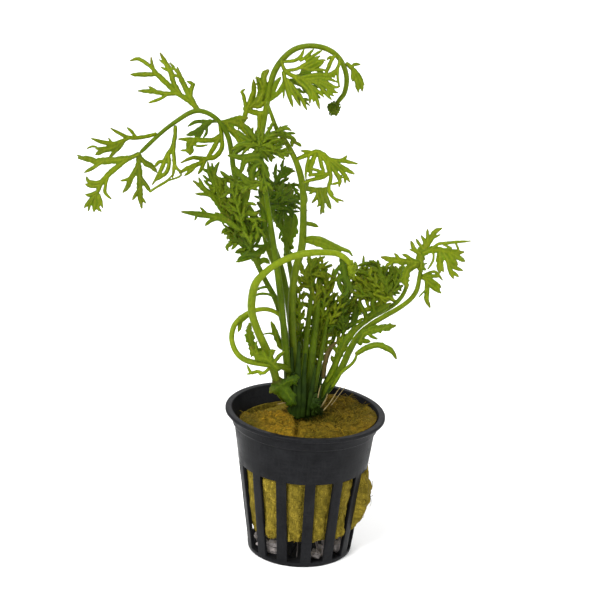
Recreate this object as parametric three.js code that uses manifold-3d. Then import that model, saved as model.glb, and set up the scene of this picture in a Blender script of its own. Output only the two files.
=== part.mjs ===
// Water sprite (Ceratopteris) in a slotted net pot packed with mineral wool.
// Millimetres, +Z up. The origin is the middle of the pot's underside, and the front is -Y.
import * as THREE from 'three';
import { mergeVertices } from 'three/addons/utils/BufferGeometryUtils.js';
import Module from 'manifold-3d';

const wasm = await Module();
wasm.setup();

// Net pot
const potHeight = 50;
const rimRadius = 27;
const rimWidth = 2.3;
const rimThickness = 1.3;
const collarDrop = 5.2;
const collarStep = 0.8;
const wallTopRadius = 23.8;
const baseRadius = 17.7;
const wallThickness = 1.2;
const floorThickness = 1.2;
const slotCount = 14;
const slotTurn = -5.8;
const potShift = 0.4;
const slotBottom = 1.6;
const slotTop = 32;
const slotWidthTop = 6.3;
const slotWidthBottom = 4.4;
const potSides = slotCount * 2;
const rimLean = 0.03;

// Mineral wool
const woolBottom = 8.4;
const woolTop = 48.4;
const woolRise = 0.07;
const woolFall = 0.06;
const woolBulge = 0.4;
const sideBulge = [0, 0, 0, 4.4, 2.6];
const bulgeHeight = 18;

// Plant
const gap = 0.3;
const leastCut = 1e-4;
const bladeThickness = 0.8;
const stemSides = 5;
const axisTolerance = 0.24;
const outlineTolerance = 0.15;
const spikeWidth = 1.3;
const drawnHigh = 0.15;
const crownCentre = [0.4, 0.6, 49.4];
const crownSize = [5.4, 5.2, 3.2];

// The plant is drawn on the upright plane through the pot's axis, as it looks from this
// point in front of it. Each piece is then moved along its own line of sight to its depth.
const eye = new THREE.Vector3(-3, -524.25, 254.8);

// Stems: radius at the foot and at the tip, then points [x, z, depth]
const stems = {
  left_frond_stem: {
    radius: [1, 0.45],
    path: [
      [-0.2, 48.6, 2.2], [-1.5, 55, 2.2], [-2.8, 62, 2.6], [-4.3, 71, 3], [-7, 88.3, 4],
      [-10.4, 101.2, 4.6], [-14.3, 109.9, 5], [-19.8, 117.7, 5.4], [-23.9, 124.2, 5.8],
      [-26.1, 131.4, 6], [-27, 137, 6], [-28.3, 142.5, 6], [-31.3, 147.2, 6], [-35.4, 149.9, 5.8],
      [-39.7, 150, 5.4], [-45, 146.6, 4.6], [-50.2, 142.2, 3.6], [-56.6, 135.6, 2],
    ],
  },
  top_frond_stem: {
    radius: [1, 0.5],
    path: [
      [0.2, 50.8, 5.4], [-4.7, 74.5, 7], [-7, 89, 8.5], [-10.3, 97.8, 9.5], [-13.1, 103.5, 10.2],
      [-15.2, 110.2, 11], [-16.3, 120.2, 12.4], [-17.1, 130, 13.6], [-18.2, 138.3, 14.5],
      [-17, 148.1, 15.5], [-15.7, 157, 16.6], [-14.4, 163.4, 17.4], [-11.6, 168.2, 18],
      [-7.7, 171.5, 18.2], [-2.6, 172.6, 18], [2.6, 171.6, 17.4], [6.4, 168.6, 16.6],
      [8.6, 163.5, 15.6], [8.3, 158.4, 14.8], [6.4, 154.9, 14.2],
    ],
    bud: [5, 152.6, 14, 3.4, 4.4],
  },
  tall_frond_stem: {
    radius: [1.3, 0.5],
    path: [
      [-1.9, 48.6, -1], [-4.9, 74.4, -1.6], [-5.7, 88.4, -2], [-4.9, 98.7, -2.4],
      [-3.3, 105.6, -2.6], [-3, 113, -2.8], [-3.6, 125.8, -3], [-5.7, 134, -3.2],
      [-9.4, 141, -3.4], [-12.7, 145.4, -3.6], [-14.8, 150.4, -3.8],
    ],
  },
  side_frond_stem: {
    radius: [0.9, 0.6],
    path: [
      [-2.6, 51.4, 1], [-5.4, 55, -1], [-6.7, 68, -2.4], [-7.7, 78, -3], [-10.6, 87.5, -4],
      [-14.6, 94.8, -5.6], [-18, 101.4, -8], [-20.8, 108, -10.5], [-23, 114.5, -12.5],
    ],
  },
  middle_frond_stem: {
    radius: [0.9, 0.45],
    path: [
      [-1.4, 49.8, -3.6], [-4.4, 54, -4.6], [-6.9, 70, -6], [-8.8, 85, -7], [-10.6, 97, -8],
      [-12.6, 108, -9], [-14.4, 118, -9.8], [-16.2, 128, -10.4], [-18, 139, -11],
    ],
  },
  back_frond_stem: {
    radius: [0.9, 0.5],
    path: [
      [1.8, 51.4, 7.4], [-1.6, 70, 12], [-4.4, 88, 15], [-7.4, 103, 18], [-10, 115, 20.5],
      [-12.4, 127, 22.5],
    ],
  },
  curled_stem: {
    radius: [1.25, 0.95],
    path: [
      [-3.6, 51.6, -1.8], [-5.6, 52.8, -3.8], [-8, 55.2, -5.8], [-9.8, 60.4, -8],
      [-10.9, 64, -8.6], [-13.4, 70.5, -9.6], [-16.6, 77.4, -11.4], [-18.6, 83, -13],
      [-18.9, 88, -14.4], [-17.8, 93.7, -15.8], [-14.6, 97.8, -16.8], [-10.6, 101, -17.2],
      [-5.3, 103.7, -17], [0, 105, -16.6], [5, 105.3, -16], [8.6, 105, -15.4],
      [11.4, 103.4, -14.8], [13.2, 101, -14.2],
    ],
    bud: [14, 99.4, -14.2, 2.6, 7.2],
  },
  small_curl_stem: {
    radius: [0.9, 0.6],
    path: [
      [-4.6, 62.9, -4.6], [-7.4, 64.9, -8], [-11.2, 65.4, -12.8], [-15.1, 65.8, -14.4],
      [-19, 66.4, -14.8], [-21.8, 67.7, -14.2], [-23.8, 70, -13.2], [-25, 73.2, -11.8],
      [-25.1, 76, -10.4], [-24.3, 79, -9], [-22.4, 81.4, -8], [-19.6, 83.5, -7],
      [-16.6, 84.7, -6.2], [-13.4, 84.9, -5.8], [-10.4, 83.8, -5.6], [-8.4, 81.9, -5.4],
    ],
  },
  right_frond_stem: {
    radius: [1.25, 0.6],
    path: [
      [3.4, 48.4, -2.4], [4.9, 52.4, -2.4], [6.4, 56, -2.4], [9.4, 60.4, -3], [12.2, 66.4, -3.6],
      [14.3, 72, -4.2], [17, 77.3, -5], [20.8, 81.2, -6], [25.6, 84.6, -7], [29.5, 87.2, -8],
      [33.2, 90.4, -9], [35.2, 93.8, -9.8], [35.8, 98, -10.4], [36.2, 102, -11],
    ],
  },
  inner_right_stem: {
    radius: [1, 0.6],
    path: [
      [3.9, 49.4, 1.2], [5, 55, 2.4], [8.6, 64, 4], [11.8, 72, 5.6], [15.4, 78.6, 7.2],
      [20.4, 83.4, 9], [25.4, 86.6, 10.6], [29, 89.4, 11.8], [31.2, 93, 12.6], [32, 97, 13.2],
    ],
  },
  right_back_stem: {
    radius: [0.9, 0.5],
    path: [
      [2.6, 51, 4.6], [6, 66, 12.5], [9, 77, 15.5], [11.6, 86, 17.5], [14, 93.4, 19],
      [17.4, 98.6, 20.5],
    ],
  },
};

// Leaves: depth at the foot and its lean along x and z, then strokes: width, x, z, x, z, ...
const leaves = {
  left_frond_leaflet_1: {
    depth: [5.6, 0.45, 0.6],
    strokes: [
      [1.5,  -37.7, 150.4,  -40.8, 153.2,  -45, 156,  -49.9, 160.2,  -52.5, 163,  -53.3, 166.6],
      [1,  -52.2, 162.6,  -54.6, 164.7,  -57.4, 166.1,  -59.8, 165.4],
      [1.3,  -51.4, 161.5,  -54.2, 161.3,  -59.6, 161],
      [1.3,  -44.6, 155.7,  -48.4, 155.4,  -52.6, 155.9,  -57.1, 155.9],
      [0.8,  -47.9, 155.2,  -49.9, 153.8,  -53.8, 152.2],
      [1.5,  -38.6, 151.3,  -40.5, 154.4,  -42.6, 158.2,  -44.4, 162,  -44.9, 163.9],
      [1.1,  -40.5, 154.5,  -40.4, 157,  -39.9, 158.8,  -41.7, 159.6],
      [1.4,  -43.9, 155.6,  -46, 159,  -46.9, 162.2,  -48.3, 164.6,  -50.4, 168.2],
      [0.7,  -44.1, 161.2,  -47.2, 165.3],
      [0.8,  -43.6, 160.4,  -45, 161.2,  -46.8, 161.6],
    ],
  },
  left_frond_leaflet_2: {
    depth: [3.2, 0.6, -0.2],
    strokes: [
      [1.1,  -51.6, 142.2,  -53.8, 141.4,  -57.3, 140.7,  -60.6, 140.8,  -63.4, 142.1,  -65.8, 143.4],
      [0.8,  -57.7, 140.9,  -59.1, 142.6,  -60.6, 143.9],
      [1.2,  -59.9, 140.6,  -62.3, 139.4,  -64.7, 138.4,  -68.4, 138.8,  -71.9, 139.8],
      [1.7,  -62.5, 139.2,  -65, 137.2,  -68, 136.4,  -70.5, 136.6],
      [1.4,  -66.5, 136.8,  -68.8, 135.7,  -70.6, 134.6],
      [1.2,  -61.6, 139.5,  -63.2, 137.3,  -64.7, 135.7,  -66.3, 133.6],
    ],
  },
  left_frond_leaflet_3: {
    depth: [2, -0.35, 0.2],
    strokes: [
      [1.5,  -57, 135.3,  -61.1, 133.1,  -64.4, 130.2,  -67.9, 126.7,  -69.7, 123.2,  -70.7, 119.8],
      [2.1,  -59.8, 133.9,  -63, 133.2,  -66.5, 132.8,  -70.6, 132.5,  -73.6, 133.2,  -76, 133.3],
      [1,  -68.6, 132.4,  -70.9, 130.6,  -74.2, 128.6],
      [1.2,  -68.4, 126,  -70.6, 125.3,  -73, 125.8,  -73.5, 127.1],
      [1.3,  -69.2, 124.5,  -71.8, 124.2,  -73.8, 124.7],
      [1.1,  -70.1, 122.4,  -72.1, 121.2,  -73.8, 121.2],
      [1.1,  -70.6, 121.4,  -72.1, 119.7,  -74.2, 116.9],
      [0.8,  -71.3, 120.4,  -72.4, 118.1,  -73, 115.8],
      [1.4,  -70.5, 121.3,  -70.9, 118.5,  -71.1, 115.8],
      [1,  -70, 120.9,  -69.5, 118.7,  -69.9, 117,  -68.8, 115.9],
      [0.8,  -69.4, 121.4,  -68.8, 118.9,  -68.3, 117.1],
      [0.9,  -66.7, 127.3,  -67.4, 124.7,  -67.5, 122.2,  -65.6, 120.2],
    ],
  },
  left_frond_leaflet_4: {
    depth: [2.2, 0.3, -0.55],
    strokes: [
      [1.7,  -56.6, 134.9,  -56.8, 132,  -56.4, 128,  -56.3, 124,  -56.1, 120.6,  -55.6, 117.7],
      [1.5,  -56.9, 132,  -58.1, 129.3,  -59.4, 127,  -60.2, 124.6,  -61.7, 122.6],
      [1.2,  -56.3, 128.2,  -55.1, 126.3,  -52.8, 123.1],
      [0.9,  -56.5, 124.1,  -57.5, 122.2,  -58.6, 120.2],
      [1.6,  -56.5, 134.4,  -54.5, 132.5,  -52.7, 131.7,  -51, 129.8],
    ],
  },
  left_frond_leaflet_5: {
    depth: [4.4, 0.3, 0.7],
    strokes: [
      [1.5,  -45.2, 144.8,  -45.3, 141.4,  -46.2, 137.8,  -48.2, 134.2,  -49.5, 130.6,  -52.2, 125.6],
      [1.3,  -45.4, 139.8,  -45.6, 136.3,  -45.3, 132.6,  -45.8, 128.2],
      [1.1,  -48.6, 133.6,  -50.4, 133,  -51.6, 131.4],
      [1.4,  -47.2, 135.9,  -47, 132.6,  -48, 129.6,  -51.4, 126.8],
      [0.9,  -45.4, 132.8,  -44, 130.8,  -42.6, 130.2],
      [0.8,  -53, 123.2,  -50.8, 124.8,  -47.8, 126.8,  -46, 128.9],
      [0.6,  -47.6, 127,  -44.8, 128,  -43, 129.2,  -44, 130.9],
    ],
  },
  left_frond_leaflet_6: {
    depth: [6.2, 0.5, 0.3],
    strokes: [
      [1.3,  -30.9, 146.2,  -30.4, 142.4,  -30.2, 138.6,  -32.2, 135.7,  -35.4, 134.8,  -39.4, 135,  -43.1, 133.2],
      [1.4,  -30.6, 143,  -32.6, 141.3,  -36, 140.8,  -40.2, 140.9,  -44, 140.9],
      [2.3,  -39, 140.8,  -40.3, 138.8,  -40.3, 136.1],
      [0.6,  -39.8, 139.4,  -37.4, 138.9,  -34.8, 139.4],
      [1.3,  -31, 141.9,  -32.4, 139.2,  -34.8, 135.2],
      [1.3,  -34.6, 135,  -37.2, 133.2,  -40.6, 131.6,  -43.6, 129.8],
      [1,  -35.4, 134.3,  -36.3, 132,  -37.5, 129.8],
      [0.9,  -38, 133,  -39.6, 131,  -41.9, 129],
    ],
  },
  left_frond_leaflet_7: {
    grownOn: 'left_frond_stem',
    depth: [6.6, -0.3, -0.35],
    strokes: [
      [1,  -32.2, 147.2,  -35.4, 147,  -38.9, 146.7,  -41.1, 145.2],
      [1.7,  -34.2, 147,  -36.3, 145.2,  -38.6, 143.3,  -41.4, 142.3],
      [1.9,  -36, 145.4,  -37.7, 142.9,  -38.6, 141.1],
      [0.7,  -35.3, 146,  -35.2, 143.4,  -36.2, 141.6],
    ],
  },
  left_frond_leaflet_8: {
    depth: [6.6, 0.7, 0.3],
    strokes: [
      [1.9,  -29.4, 146.4,  -27.4, 147.4,  -25, 148.3,  -22.4, 148.7],
      [1.9,  -28.8, 146.6,  -26.9, 144.2,  -24.6, 142.3,  -21.8, 140.4],
      [1.9,  -27.8, 147.2,  -25, 146.6,  -22.4, 144.6,  -20.2, 141.8],
      [1.5,  -24.6, 148.3,  -23.6, 146,  -21.6, 143.4],
      [1,  -26.4, 143.8,  -25, 141.4,  -24.2, 139.6],
    ],
  },
  top_frond_leaflet_1: {
    depth: [15.8, -0.2, 0.2],
    strokes: [
      [1.4,  -17, 150.2,  -20.2, 150.8,  -23, 151.4,  -21.4, 154.2,  -20.5, 157,  -20.7, 161],
      [1.7,  -22.4, 151.6,  -19.7, 153.6,  -18, 156.4,  -17.4, 159.4,  -17.4, 162,  -16.1, 164.2],
      [0.9,  -17.9, 158.6,  -19, 161.4,  -20.1, 161.6],
      [1.1,  -20.6, 152.6,  -18.6, 152.6,  -16.6, 154.6],
      [1.3,  -18.3, 150.4,  -18.1, 147.4,  -18.6, 144.2],
      [1.2,  -17.5, 150.3,  -17.2, 147,  -17.8, 144],
    ],
  },
  top_frond_leaflet_2: {
    depth: [17.8, 0.5, 0.4],
    strokes: [
      [1.4,  -12.2, 166.4,  -9.4, 166.7,  -6.5, 165.7,  -3.4, 164.9,  0.3, 164.7],
      [0.9,  -9, 166.7,  -6.8, 168.2,  -5.9, 170.4],
      [0.9,  -7, 166,  -5.8, 168.2,  -3.8, 169.9,  -0.6, 171],
      [1.1,  -5.9, 165.5,  -4.4, 167.5,  -2.3, 168.7,  -0.3, 169.7],
      [1.1,  -4.4, 165.2,  -2.7, 166.8,  -0.4, 167.8,  1.3, 167.9],
      [1,  -1.8, 165,  -0.2, 166.2,  1, 166.8],
    ],
  },
  top_frond_leaflet_3: {
    depth: [16.6, -0.7, 0.4],
    strokes: [
      [2.1,  -12.6, 165.6,  -10.8, 163.4,  -8, 163.6,  -5.4, 162.9,  -2.6, 162,  0.6, 162.4,  3.6, 162.4],
      [1.7,  -10.6, 163.2,  -10, 159.6,  -9.2, 156.4,  -8.2, 153.2],
      [1.1,  -9.8, 160.6,  -8.2, 157.4,  -6.7, 154.3],
      [1.4,  -10, 161.6,  -7, 158.3,  -5.2, 156,  -3.6, 152.4],
      [1.2,  -8.4, 163.2,  -5.6, 160,  -3.4, 158.4,  -2.8, 154.9],
      [1.3,  -4.6, 162.4,  -2, 158.6,  -0.7, 156,  0.4, 153.1],
      [1.3,  -2.4, 161.9,  -0.2, 158.8,  1.8, 156.8],
      [1.2,  0.2, 162,  2.2, 158.8,  4.1, 156.2],
      [1,  1.4, 161.6,  3.2, 159.4,  4.9, 157.6],
      [1,  2, 161.4,  4, 159.4,  6.3, 158.2],
      [1.7,  0.6, 162.8,  2, 164.4,  3.8, 165.8,  5.2, 165.5],
      [1.4,  3.2, 162,  4.9, 162.6,  5.6, 164.2,  6.2, 165.9],
      [0.8,  2.6, 164.8,  3.3, 167.2,  4.2, 169],
    ],
  },
  top_frond_leaflet_4: {
    grownOn: 'top_frond_stem',
    depth: [16.2, -0.55, 0.1],
    strokes: [
      [1.3,  -16, 154.6,  -13.6, 156.4,  -11.6, 158.9,  -10.9, 161.4,  -11.6, 163.4],
      [1.3,  -14.6, 156.2,  -13.8, 159.6,  -12.2, 162.2],
      [0.5,  -11, 160,  -11, 155.6],
    ],
  },
  top_frond_leaflet_5: {
    depth: [16.2, 0.5, 0.1],
    strokes: [
      [1.5,  8.9, 165.4,  11.2, 164.4,  12.6, 162.2,  13.3, 160.2,  13.8, 158.4],
      [0.9,  12.1, 162.4,  12.6, 158],
      [0.8,  10.2, 164.8,  10.7, 161],
      [0.8,  9.8, 165.2,  10.8, 166.6,  12.8, 166.9],
    ],
  },
  tall_frond_leaflet_1: {
    depth: [-3.2, -0.8, 0.3],
    strokes: [
      [1.6,  -6.2, 136.8,  -3.6, 137.7,  -1.2, 137.9,  0.6, 138.6,  2.8, 137.4,  4.9, 136.2],
      [0.8,  -1, 138.4,  -2.8, 138.5,  -4.9, 138.9],
      [1.4,  4.6, 136.3,  7.2, 136,  10.4, 136.2,  14.4, 135.5],
      [1.8,  4.8, 136.1,  8.1, 134.7,  10.6, 133.3,  12.8, 132.1],
      [1.3,  9.4, 134,  10.6, 131.6,  11.6, 129.5],
      [1.5,  5.6, 135.6,  7.7, 132.4,  8.3, 127.5],
      [1.2,  5.2, 135.8,  7.1, 131.8,  7, 129,  6.2, 127.8],
      [0.9,  5.2, 135.8,  5.7, 131.6,  5.7, 126.4,  7, 123.8,  10, 123.1],
      [1.3,  1.2, 138,  2.2, 135,  2.4, 132],
      [1.3,  0.2, 138,  -0.9, 134.6,  -1.3, 131.2],
      [0.9,  -1.2, 137.6,  -2.5, 134.2,  -2.9, 131],
    ],
  },
  tall_frond_leaflet_2: {
    depth: [-2.8, 0.8, -0.2],
    strokes: [
      [1.9,  -4, 127.2,  -1.4, 126.3,  1.4, 126.3,  3.8, 126.8,  5, 129.4,  5.1, 132.4],
      [1.4,  -3, 127.6,  -2.6, 130.2,  0.6, 129.9,  3, 131.6,  4.9, 131.9],
      [1.3,  1.8, 126.3,  2, 123.4,  2.7, 120.8,  2.4, 118.1],
      [1.1,  1.9, 124.2,  1, 122.5,  -0.4, 121.6],
      [1.3,  3.4, 126.6,  3.6, 124,  2.9, 121.6],
      [1.2,  4, 127,  4.8, 123.4,  5.7, 120.2],
    ],
  },
  tall_frond_leaflet_3: {
    grownOn: 'tall_frond_stem',
    depth: [-3, 0.5, 0],
    strokes: [
      [1.2,  -3, 115,  -0.2, 114.6,  1.8, 113.9],
    ],
  },
  tall_frond_leaflet_4: {
    grownOn: 'tall_frond_stem',
    depth: [-2.8, -0.45, 0.1],
    strokes: [
      [1.4,  -3.1, 109.4,  0, 110,  3, 109.7,  6, 108.4,  9.6, 106.8,  12.2, 106,  13.4, 104.6],
      [1.2,  5, 109,  7.2, 106.9,  9.6, 105.8],
      [2.4,  -1.6, 108.9,  2, 108.6,  5, 107.6,  7.6, 106.6],
    ],
  },
  middle_frond_leaflet_1: {
    depth: [-11, 0.2, 0.2],
    strokes: [
      [1.8,  -18, 139.4,  -16.4, 142.3,  -14.4, 144.3,  -11.4, 144.7,  -8.6, 143.8,  -6.4, 140.9],
      [0.9,  -12.6, 144.8,  -9.9, 145.9,  -8.2, 145.3],
      [0.7,  -9.6, 144,  -7.6, 143,  -6.3, 141.6],
      [1.3,  -16, 142.6,  -14.4, 142.2,  -12.6, 142.6],
    ],
  },
  middle_frond_leaflet_2: {
    depth: [-11, 0.3, -0.1],
    strokes: [
      [2.4,  -17.2, 139.8,  -15.4, 140.3,  -13.4, 139.8,  -11.3, 140.2],
      [0.9,  -16.4, 139,  -13, 137.8,  -8.6, 136.9],
      [1.3,  -16.6, 138.6,  -14.6, 136.6,  -13, 136.2],
      [0.9,  -15.2, 137.4,  -14, 134.8],
    ],
  },
  middle_frond_leaflet_3: {
    depth: [-11, -0.25, 0.1],
    strokes: [
      [1.6,  -18.8, 139,  -21.4, 139.9,  -24, 138.8,  -26.8, 136.2],
      [1.5,  -18.8, 138.4,  -20.6, 136.4,  -23.4, 135.8,  -26.4, 136],
      [1.5,  -19, 139.8,  -21, 141.6,  -23.8, 142.6],
      [1.2,  -20, 140.6,  -21, 143.6,  -20.4, 145.6],
    ],
  },
  middle_frond_leaflet_4: {
    depth: [-12.3, 0.1, 0.05],
    strokes: [
      [2.2,  -16.6, 130.5,  -15.8, 127.8,  -15.2, 125.2],
      [1.6,  -17.2, 134.6,  -16, 131.6,  -15.2, 129.4],
      [1.3,  -17.6, 134.2,  -19.6, 132.8,  -20.4, 129.8,  -19.6, 127.4],
      [1.4,  -16.6, 133.6,  -18.4, 135.2,  -20.6, 135,  -22.9, 134.2,  -23.7, 131],
      [1.4,  -16.8, 128,  -19.6, 127,  -22.6, 128.2,  -25.6, 132.6],
    ],
  },
  side_frond_leaflet_1: {
    depth: [-11.8, 0.35, 0.2],
    strokes: [
      [1.7,  -24.2, 112.6,  -27, 114.3,  -28.6, 116.6,  -30.4, 119.6,  -32.6, 122.4,  -35.4, 124.7,  -39, 127.3],
      [0.9,  -34.6, 124.2,  -36.4, 126.4,  -37.3, 128.5],
      [0.9,  -32.3, 122.2,  -34.7, 123,  -38.3, 123.1],
      [1.2,  -30.6, 119.9,  -30.8, 123,  -32.2, 126.4,  -33.8, 130,  -34.6, 133.8],
      [1.4,  -29.2, 117.8,  -29.4, 122,  -31.4, 126,  -32.8, 130,  -33.2, 133.4],
      [0.9,  -32.3, 129,  -31.8, 132,  -30.9, 134],
      [1.3,  -28.6, 116.8,  -28.6, 121,  -30, 125.4,  -30.6, 128.4],
    ],
  },
  side_frond_leaflet_2: {
    depth: [-13.3, 0.45, 0],
    strokes: [
      [1.7,  -23.8, 111.8,  -27.4, 114.2,  -30, 115.2,  -33.4, 115.9,  -37.6, 116.4,  -42.5, 116.9],
      [1.1,  -30.8, 115.2,  -33, 114.4,  -34.8, 112.7],
    ],
  },
  side_frond_leaflet_3: {
    depth: [-10.4, 0.3, 0.3],
    strokes: [
      [2.4,  -20.2, 106.2,  -22.4, 106.6,  -25, 108.6,  -26.6, 111.4],
      [1.4,  -25.2, 109,  -27.2, 110.6,  -28.5, 110],
      [1.6,  -22.6, 107.4,  -22.6, 110.2,  -24.4, 112],
    ],
  },
  side_frond_leaflet_4: {
    grownOn: 'side_frond_stem',
    depth: [-7.6, 0.2, 0.1],
    strokes: [
      [1.4,  -17.2, 101,  -18.6, 102.8,  -21, 102.3,  -24.3, 100.8],
      [1.1,  -18.6, 102.9,  -21, 103.2,  -23, 103.4],
      [1.6,  -17.2, 100.6,  -15.2, 101.9,  -13.6, 100.8],
      [2.2,  -18.4, 102,  -16.8, 104.6,  -14.4, 106.6,  -12.6, 108.4],
      [1.8,  -19, 104.4,  -22, 104.8,  -24.6, 104],
    ],
  },
  side_frond_leaflet_5: {
    depth: [-12.8, 0.05, 0.2],
    strokes: [
      [2.5,  -23.2, 114.8,  -25, 117.4,  -27, 119.4,  -29, 121],
      [2.2,  -23, 115,  -23.4, 118.6,  -24.6, 122.2,  -25.4, 125.8,  -26, 128.6],
      [1.7,  -22.8, 116,  -22.4, 120.2,  -21.6, 123.2,  -20.8, 125.8],
      [1.1,  -25.2, 125.2,  -27.6, 124.6,  -28.8, 126,  -28.6, 128.2,  -27.2, 128.4],
      [1.1,  -26.2, 128.4,  -28.6, 129.4,  -30.4, 131],
      [1,  -24.4, 121.6,  -22.6, 124,  -22.2, 126.2],
    ],
  },
  side_frond_leaflet_6: {
    depth: [-9.8, -0.3, 0.2],
    strokes: [
      [2.6,  -19.6, 107.2,  -19.4, 110.4,  -20.4, 113.4,  -22, 116],
      [2.2,  -19.4, 105.6,  -17.2, 108.6,  -17.2, 112.6,  -18.2, 116.6],
      [1.5,  -17.6, 109.6,  -15.8, 112.4,  -16.4, 118.6,  -18.2, 121.2],
    ],
  },
  back_frond_leaflet_1: {
    depth: [22.4, -0.1, 0.25],
    strokes: [
      [2.2,  -11.8, 124.6,  -12.6, 128.2,  -11.4, 130.6,  -9.8, 132.9,  -7.4, 132.8],
      [1,  -11.8, 129.8,  -10.4, 131.2,  -7.4, 132.1],
      [2,  -12, 127.2,  -9.8, 127.6,  -7, 126.6,  -5, 125.8],
      [1.6,  -12.4, 127,  -14.6, 128,  -16.4, 130.4],
      [1.4,  -12.6, 127.4,  -14.4, 126,  -16.6, 126.8],
    ],
  },
  back_frond_leaflet_2: {
    depth: [21, -0.3, -0.2],
    strokes: [
      [2.6,  -10.8, 119.4,  -13, 121.4,  -15.4, 122.6,  -17.6, 125.6],
      [2,  -12.2, 120.6,  -14.8, 119.4,  -16.4, 117],
      [1.6,  -13.4, 121.6,  -13.6, 124.6,  -15.2, 127.2],
    ],
  },
  back_frond_leaflet_3: {
    depth: [20.4, 0.3, -0.1],
    strokes: [
      [2.6,  -9.8, 117.4,  -8, 120.6,  -7.6, 123.8,  -9, 126.4],
      [2.2,  -9, 118.8,  -6.6, 119.8,  -4.6, 120.2],
      [1.8,  -8, 121.4,  -6.2, 123.2,  -4.4, 124.6],
      [1.4,  -10, 119.4,  -11.2, 122.4,  -11, 125],
    ],
  },
  back_frond_leaflet_4: {
    grownOn: 'back_frond_stem',
    depth: [18.4, 0.1, -0.3],
    strokes: [
      [1.6,  -8.6, 110,  -6.4, 112.6,  -5.6, 115.6,  -6.8, 118.4],
      [1.3,  -8.6, 110.2,  -9.4, 112,  -11.4, 114.6,  -12.4, 118],
      [1,  -7, 112,  -5.4, 110.2],
      [2.6,  -7.6, 103.6,  -7.4, 108,  -6.6, 113,  -7, 119.5],
    ],
  },
  curled_stem_leaflet: {
    depth: [-14.6, -0.2, 0.1],
    strokes: [
      [1.9,  10, 104.2,  10.6, 101.4,  11.2, 97.8,  12.8, 94.8,  14, 92],
      [1,  11.2, 98,  9.4, 95.6,  10.8, 91.6],
      [0.9,  12.6, 95.2,  12, 91.6,  10.2, 90.9],
      [1.1,  10.6, 101.6,  8.6, 99.4,  8, 96.8],
    ],
  },
  small_curl_leaflet_1: {
    depth: [-13.6, 0.4, 0.1],
    strokes: [
      [2.6,  -9.6, 64.4,  -12.4, 66.8,  -15, 67.8,  -17.4, 69.4,  -18.6, 71.5],
      [1.4,  -13, 67.2,  -14.2, 69.2,  -14.6, 70.6],
      [1.3,  -11.8, 66.8,  -11.8, 69,  -10.8, 70.3],
      [1.1,  -10.8, 66.2,  -9.2, 68.6,  -7.6, 70.4],
      [0.6,  -16, 68.6,  -17, 71.6,  -16.7, 73.7],
    ],
  },
  small_curl_leaflet_2: {
    grownOn: 'small_curl_stem',
    depth: [-13.2, 0.2, 0],
    strokes: [
      [1,  -11.6, 65.2,  -12.8, 63.6,  -14.4, 62.4,  -16.2, 63,  -18.2, 62.4,  -19.7, 65],
    ],
  },
  small_curl_leaflet_3: {
    grownOn: 'small_curl_stem',
    depth: [-7, 0.2, 0.1],
    strokes: [
      [1.3,  -19.4, 83,  -21, 81.6,  -22.3, 80.4,  -22.6, 78.4,  -22.9, 76.8],
      [1.2,  -20.6, 82.4,  -22.6, 81.6,  -23.4, 79.4],
    ],
  },
  right_frond_leaflet_1: {
    depth: [-11.2, -0.4, 0.6],
    strokes: [
      [2.9,  36.2, 101.6,  35.8, 104.8,  36.7, 107.8,  37.8, 109.4],
      [1.5,  37.4, 108.6,  38.6, 111.2,  39.8, 113.8,  41.9, 115.2],
      [0.9,  37.4, 109,  37.6, 112,  37.4, 114.6],
      [0.9,  37, 108.6,  36.6, 110.6,  35.5, 112.4],
      [0.8,  36.6, 107.8,  35, 109.6,  33.9, 111.2],
      [1.2,  35.9, 106,  33.6, 107.6,  32.3, 110.4],
    ],
  },
  right_frond_leaflet_2: {
    depth: [-11.4, -0.6, 0.3],
    strokes: [
      [2,  36.6, 106.6,  39.4, 107.8,  43, 107.5,  46.6, 107.2,  49.6, 107.5],
      [0.8,  39, 107.9,  41.2, 109.8,  44, 110.3,  47.4, 110.8,  51.6, 111.3],
      [1.5,  45.4, 107,  48, 105.6,  50.2, 104.4],
      [1.3,  45, 106.6,  46.6, 104.6,  47.9, 103.1],
      [1.4,  43, 107.2,  44.6, 104.6,  46.4, 102.6,  49.7, 101.2],
      [1.3,  44.8, 104,  45.9, 100.8,  46.9, 98.4],
      [0.9,  46, 101,  48.6, 99],
      [2.1,  41.8, 107,  42.2, 103.8,  42.3, 100.2],
      [0.5,  39.4, 107.4,  40, 105.6,  39.8, 103.8,  38.4, 101.2],
    ],
  },
  right_frond_leaflet_3: {
    depth: [-10.4, -0.6, -0.4],
    strokes: [
      [1.4,  36.6, 98.2,  38.2, 97.4,  38.6, 94,  38.6, 91,  39.9, 88.1],
      [0.8,  37, 99,  40.6, 100.4,  43.4, 97.6],
      [1.1,  37.6, 98.7,  40.2, 98.9,  42.4, 98.8],
      [1.5,  37.8, 98.2,  40.4, 96.8,  43, 95.2],
      [1.3,  38, 97.6,  40.2, 95.3,  43.2, 93.2],
    ],
  },
  right_frond_leaflet_4: {
    depth: [-10.8, 0.3, 0.1],
    strokes: [
      [2,  35, 103.2,  32.4, 103.5,  29.2, 103.5,  26, 103.9,  23, 104.5],
      [0.8,  29.4, 103.6,  27.2, 106],
      [1,  33, 103.8,  31.4, 105.2,  29.9, 105.8],
      [2.3,  34.2, 102.4,  32, 100.8,  31.2, 97.6,  32, 94.5],
      [0.9,  27, 103.4,  24.8, 101.6],
    ],
  },
  inner_right_leaflet_1: {
    depth: [13.8, 0.1, 0.25],
    strokes: [
      [3,  31, 97,  29.6, 99.4,  29.2, 101.6],
      [3,  30.2, 95,  27.6, 94,  25.8, 96.4,  24.2, 99.2],
      [1.8,  25, 98,  22.6, 100.6,  20.4, 103.4],
      [1.1,  22, 101.4,  18.6, 102.2,  15.4, 101.2],
      [1.6,  28.6, 95.6,  28.4, 99,  26.4, 101.8],
    ],
  },
  inner_right_leaflet_2: {
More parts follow.
